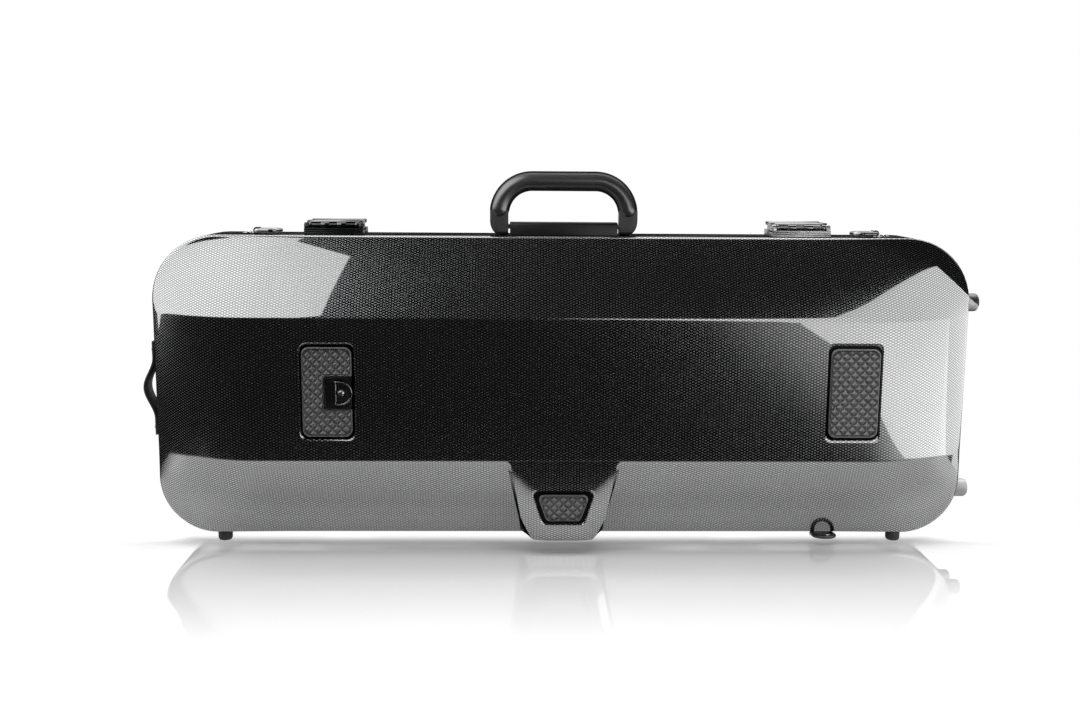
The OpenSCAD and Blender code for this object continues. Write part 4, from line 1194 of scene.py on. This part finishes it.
def webbing(name, tone):
    """Woven band: ribs across it and a selvedge grain."""
    n = Nodes(bpy.data.materials.new(name))
    at = n.add("ShaderNodeSeparateXYZ", {}, {0: n.place()})
    rib = (at * 3.0).cosine() * (at.other("Z") * 4.5).cosine()
    return n.surface(Base_Color=n.blend(rib.ramp(-1, 1), grey(tone * 0.6), grey(tone)),
                     Roughness=0.85, Normal=n.bump(rib, 0.5, 0.15))


NECK_STRAP_HALF, NECK_STRAP_W = 32, 19.6
over = [(-11.6 + 11 * math.cos(k / NECK_STRAP_HALF * math.pi / 2), MIDDLE_Z + k)
        for k in range(-NECK_STRAP_HALF, NECK_STRAP_HALF + 1, 2)]
over += [(-10.4 + 11.15 * math.cos(k / NECK_STRAP_HALF * math.pi / 2), MIDDLE_Z + k * 1.02)
         for k in range(NECK_STRAP_HALF, -NECK_STRAP_HALF - 1, -2)]
neck_band = solid(prism(over, CRADLE_X - NECK_STRAP_W / 2, CRADLE_X + NECK_STRAP_W / 2, "x"),
                  webbing("neck_webbing", 0.05), 0.25, "neck_band")
rides(neck_band, "base", "strap_leather", "neck_strap")

# ---------------------------------------------------------------------------------------------
# The accessory lid: a stiff board under velour that closes the pocket on the spine side, turning
# on a cloth hinge, with a stitched leather tab to lift it by.

LAP = 3.5             # how far the board laps over the pocket's edges
ROLL_R = 1.45
low, high = -BOX_V1 - LAP, 1 - BOX_V0
board = solid(upright(rect(BOX_X0 - LAP, BOX_X1 + LAP, low, high, 3),
                      -TRAY_TOP - 3, -TRAY_TOP - 0.05), VELOUR, 0.9, "accessory_board")
roll = solid(turned((BOX_X0 - LAP, -TRAY_TOP - 1.5, MIDDLE_Z + high - 0.1), (1, 0, 0),
                    [(ROLL_R, 0), (ROLL_R, BOX_X1 - BOX_X0 + 2 * LAP)], 20), VELOUR, 0.3)
rides(joined(board, roll), "accessory_lid", "lining", "accessory_lid")
tab_x, tab_v = (BOX_X0 + BOX_X1) / 2, -BOX_V1 + 6
tab = solid(upright(rect(tab_x - 7, tab_x + 7, tab_v - 9, tab_v + 4, 3),
                    -TRAY_TOP - 0.1, -TRAY_TOP + 1.4), LEATHER, 0.4, "tab_leather")
rides(tab, "accessory_lid", "strap_leather", "accessory_tab")
corners = rounded_outline(rect(tab_x - 5.4, tab_x + 5.4, tab_v - 7.4, tab_v + 2.4), 2, 3)
edge = np.roll(corners, -1, axis=0) - corners
run = np.concatenate([[0], np.cumsum(np.hypot(*edge.T))])
places = np.linspace(0, run[-1], 20, endpoint=False)
loop = np.concatenate([corners, corners[:1]])
spots = np.stack([np.interp(places, run, loop[:, k]) for k in (0, 1)], 1)
ahead = np.stack([np.interp(places + 0.4, run, loop[:, k]) for k in (0, 1)], 1) - spots
rows = loose_points(np.stack(
    [spots[:, 0], 0 * places - TRAY_TOP + 1.42, spots[:, 1] + MIDDLE_Z], 1))
store(rows.data, "along", np.stack([ahead[:, 0], 0 * places, ahead[:, 1]], 1))
rides(grown("tab_stitches", STITCHES, rows, THREAD, Thread=0.00025, Length=0.0016),
      "accessory_lid", "strap_leather", "accessory_tab")

# ---------------------------------------------------------------------------------------------
# The lid shell: the same moulding of woven composite under lacquer in a shallower depth,
# without the nose and the pockets. Its edge is pressed into the lid's rim.

points, faces, threads = make_shell(LID_FULL, 1)
lid = piece("lid_skin", points, faces, LACQUER, 32, threads)
rides(lid, "lid", "shell", "lid_shell")

# ---------------------------------------------------------------------------------------------
# The lid rim, a plain black band on the seam, and the latch keepers: cast blocks on the lid's top
# that the levers snap down behind.

rim = rim_band("lid_rim_band", [
    (0.3, 1.8), (0.0, 1.5), (0.0, 0.45), (0.3, 0.15), (3.7, 0.15), (4.0, 0.45), (4.0, 1.8)],
    BLACK_RIM)
rides(rim, "lid", "edge", "lid_rim")

KEEPER_BACK = 18.9
for name, x in LATCHES.items():
    finish = LATCH_FINISH[name]
    parts = [solid(box_solid(x - LATCH_HALF, x + LATCH_HALF, 2, KEEPER_BACK,
                             TOP_Z, TOP_Z + LATCH_H), finish, 0.3, f"keeper_block_{name}")]
    hook = [(4, TOP_Z + 5.6), (4, LEVER_Z + 0.2), (4.6, LEVER_Z + 0.7), (18.0, LEVER_Z + 0.7),
            (KEEPER_BACK, LEVER_Z - 0.3), (KEEPER_BACK, TOP_Z + 5.6)]
    parts.append(solid(prism(hook, x - LEVER_HALF - 1.5, x + LEVER_HALF + 1.5, "x"), finish, 0.3))
    rides(joined(*parts), "lid", LATCH_SLOT[name], f"latch_keeper_{name}")

# ---------------------------------------------------------------------------------------------
# The lining of the lid: a moulded foam dish covered in dark grey velour, with a rolled rim. It
# is glued into the shell all over and carries the bow holders.

LINER_FACE = 61.6     # depth of the lining's inner face
LINER_T = 6           # thickness of the foam
# the rolled rim between the two faces: inset and depth
LINER_RIM = ((6.6, 24.2), (6.6, 7.0), (7.0, 5.7), (8.0, 5.0), (10.9, 5.0), (12.1, 5.7),
             (12.6, 7.2), (12.6, 18.0), (12.8, 19.2))


def liner_face(inset, wall, full):
    x, v = shell_grid(inset)
    return x, np.stack([x.ravel(), skin(x, v, wall, full, inset=inset).ravel(), v.ravel()], 1)


def make_liner():
    """Outer face, rolled rim and inner face, all on the shell's own grid."""
    x, outer = liner_face(TRAY_INSET + 1, 24.8, 67.6)
    _, inner = liner_face(TRAY_INSET + 1 + LINER_T, 18.8, LINER_FACE)
    grid = np.arange(x.size).reshape(x.shape)
    rim = border(grid)
    loops = []
    for inset, y in LINER_RIM:
        loop = outer[rim] + (inner - outer)[rim] * ((inset - TRAY_INSET - 1) / LINER_T)
        loop[:, 1] = y
        loops.append(loop)
    start = len(outer) + len(loops) * len(rim)
    rings = [rim] + [len(outer) + k * len(rim) + np.arange(len(rim)) for k in range(len(loops))]
    faces = []
    for last, now in zip(rings, rings[1:] + [rim + start]):
        faces += band(last, now)
    for base in (0, start):
        faces += (base + grid_faces(grid)).reshape(-1, 4).tolist()
    return np.concatenate([outer, *loops, inner]) + (0, 0, MIDDLE_Z), faces


liner = piece("lid_lining", *make_liner(), VELOUR, 60)
rides(liner, "lid", "lining", "lid_liner")

# ---------------------------------------------------------------------------------------------
# The bow holders: at one end a post with a button that turns across the bow, at the other a sewn
# loop of leather that its tip slips into. There is one pair for each of two bows.

BOW_X, BOW_V = BODY_W / 2 - 142, 44.0
LOOP_T, LOOP_W = 2.6, 40  # thickness and width of a loop's leather
LOOP_OUT, LOOP_HALF = 22, 14
HOLDER_PLASTIC = moulded_plastic("holder_plastic", 0.02, 0.3, 0.1)
dressed(HOLDER_PLASTIC, "bow_post_upper", "bow_post_lower")
for name, v in (("upper", BOW_V), ("lower", -BOW_V)):
    button = rounded_outline([(-9, -7), (30, -6), (30, 6), (-9, 7)], 4) + (BOW_X, v)
    disc = solid(upright(button, 32.1, 37.6), HOLDER_PLASTIC, 1.1, f"button_{name}")
    combined(disc, "DIFFERENCE",
             turned((BOW_X, 30, MIDDLE_Z + v), (0, 1, 0), [(2.6, 0), (2.6, 10)], 40))
    rides(disc, f"bow_button_{name}", "handle_plastic", f"bow_button_{name}")
    near, half = LINER_FACE - LOOP_OUT, LOOP_HALF
    outer = rounded_outline([(near, v - half), (LINER_FACE, v - half), (LINER_FACE, v + half),
                             (near, v + half)], [7, 0.8, 0.8, 7])
    near, far, half = near + LOOP_T, LINER_FACE - LOOP_T, half - LOOP_T
    inner = rounded_outline([(near, v - half), (far, v - half), (far, v + half),
                             (near, v + half)], [5.5, 1, 1, 5.5])
    loop = piece(f"loop_{name}", *prism(
        outer + (0, MIDDLE_Z), -BOW_X - LOOP_W / 2, -BOW_X + LOOP_W / 2, "x"), LEATHER)
    combined(loop, "DIFFERENCE", prism(
        inner + (0, MIDDLE_Z), -BOW_X - LOOP_W / 2 - 10, -BOW_X + LOOP_W / 2 + 10, "x"))
    rides(eased(loop, 0.5), "lid", "strap_leather", f"bow_loop_{name}")

# ---------------------------------------------------------------------------------------------
# Floor, lights and camera: a white sheet under the case, which ends just behind the hinge line
# because the open lid reaches below it, a white backdrop, and softboxes at the left and the right
# that show as the pale areas in the lacquer.

def aimed(obj, at, out, level, roll=0.0):
    """Places a lamp or camera whose back points out, rolled from a level direction."""
    across = level * math.cos(roll) + out.cross(level) * math.sin(roll)
    obj.matrix_world = Matrix.Translation(at) @ Matrix(
        (across, out.cross(across), out)).transposed().to_4x4()


def softbox(name, at, azimuth, elevation, roll, size, radiance, glossy=True, diffuse=True):
    """An area lamp that faces the case from an azimuth (right of the front) and elevation."""
    lamp = bpy.data.lights.new(name, "AREA")
    lamp.shape, lamp.size, lamp.size_y = "RECTANGLE", *size
    lamp.energy = radiance * size[0] * size[1] * math.pi
    obj = added(name, lamp)
    obj.visible_camera, obj.visible_glossy, obj.visible_diffuse = False, glossy, diffuse
    flat = math.cos(elevation)
    out = Vector((flat * math.sin(azimuth), -flat * math.cos(azimuth), math.sin(elevation)))
    aimed(obj, at, out, Vector((math.cos(azimuth), math.sin(azimuth), 0)), roll)


floor_mesh = bpy.data.meshes.new("floor")
FLOOR, FLOOR_END = 3, 0.005
floor_mesh.from_pydata([(-FLOOR, -FLOOR, 0), (FLOOR, -FLOOR, 0), (FLOOR, FLOOR_END, 0),
                        (-FLOOR, FLOOR_END, 0)], [], [(0, 1, 2, 3)])
floor = added("floor", floor_mesh)
n = Nodes(bpy.data.materials.new("white_floor"))
path = n.add("ShaderNodeLightPath")
spot = n.add("ShaderNodeSeparateXYZ", {}, {0: n.place()})
depth = spot.other("Y")
# the parts of the sheet that the lacquer sees, where it glows to reflections only, most just in
# front of the case, a painted reflection, while it shows almost black to all other reflections, a
# painted dark room; and the part on which the camera sees shadow
near = (depth.ramp(-300.0, -140.0) * spot.ramp(-750.0, -550.0)).or_more(spot.ramp(350.0, 700.0))
matt = n.add("ShaderNodeBsdfDiffuse", {}, {"Color": grey(0.8)})
kept = (1 - depth.ramp(-1000.0, -600.0, 1.0, 0.0)) * (1 - depth.ramp(-30.0, 3.0)) * (
    1 - spot.size().ramp(700.0, 1100.0))
glow = n.add("ShaderNodeEmission", {}, {
    "Color": grey(1.0),
    "Strength": path * (1 - kept * 0.85)
    + path.other("Is Glossy Ray") * near * depth.ramp(-70.0, -35.0, 0.1, 0.48)})
lit = n.add("ShaderNodeAddShader", {}, {0: matt, 1: glow})
# painted dark surroundings: what reflections see of the sheet outside the parts that glow for them
dark = n.add("ShaderNodeEmission", {}, {"Color": grey(1.0), "Strength": 0.025})
unseen = path.other("Is Glossy Ray") * (1 - near)
sheet = n.add("ShaderNodeMixShader", {}, {0: unseen, 1: lit, 2: dark})
polish = n.add("ShaderNodeBsdfAnisotropic", {}, {"Color": grey(1.0), "Roughness": 0.0})
shine = path * depth.ramp(-420.0, -70.0, 0.0, 0.55) * depth.ramp(-60.0, -20.0, 1.0, 0.0)
both = n.add("ShaderNodeMixShader", {}, {0: shine, 1: sheet, 2: polish})
n.add("ShaderNodeOutputMaterial", {}, {"Surface": both})
floor_mesh.materials.append(n.owner)

world = bpy.data.worlds.new("studio")
bpy.context.scene.world = world
n = Nodes(world)
path = n.add("ShaderNodeLightPath")
way = n.add("ShaderNodeSeparateXYZ", {}, {0: n.add("ShaderNodeTexCoord", output="Generated")})
# the lacquer sees a dim room that is light above and behind the case, and straight behind it
# at both sides
beside = way.other("Y").ramp(0.85, 0.93) * way.size().ramp(0.1, 0.14)
behind = 0.025 + way.other("Y").ramp(-0.12, 0.1) * way.other("Z").ramp(0.25, 0.45) + beside
white = path.or_more(path.other("Is Transmission Ray")).or_more(path.other("Is Singular Ray"))
strength = white.or_more(path.other("Is Glossy Ray") * behind)
sky = n.add("ShaderNodeBackground", {}, {"Color": grey(1.0), "Strength": strength})
n.add("ShaderNodeOutputWorld", {}, {"Surface": sky})

softbox("left_box", (-1.129, -0.319, 1.214), -1.132, 0.253, 0.425, (2.454, 1.577), 2.9,
        diffuse=False)
softbox("right_box", (0.486, -0.401, 0.129), 1.457, 0.865, -0.587, (0.992, 0.765), 2.15,
        diffuse=False)
softbox("rear_strip", (0, 0.45, 1.7), math.pi, math.radians(72), 0, (3.0, 0.7), 2.4,
        diffuse=False)
softbox("overhead", (0, -0.3, 1.9), 0, math.radians(80), 0, (2.6, 1.6), 5.2, glossy=False)
softbox("front_fill", (-0.8, -2.0, 1.2), math.radians(-22), math.radians(28), 0, (1.6, 1.2), 1.0,
        glossy=False)

camera = added("camera", bpy.data.cameras.new("camera"))
camera.data.lens = 40.0
camera.data.sensor_width = 36
camera.data.clip_start, camera.data.clip_end = 0.05, 20
yaw, pitch, roll = (math.radians(a) for a in (1.18, 9.17, 0.38))
flat = math.cos(pitch)
ahead = Vector((math.sin(yaw) * flat, math.cos(yaw) * flat, -math.sin(pitch)))
aimed(camera, (-0.0457, -1.1725 + SEAM_Y * MM, 0.3664), -ahead,
      Vector((math.cos(yaw), -math.sin(yaw), 0)), roll)
bpy.context.scene.camera = camera
bpy.context.scene.view_settings.view_transform = "Standard"
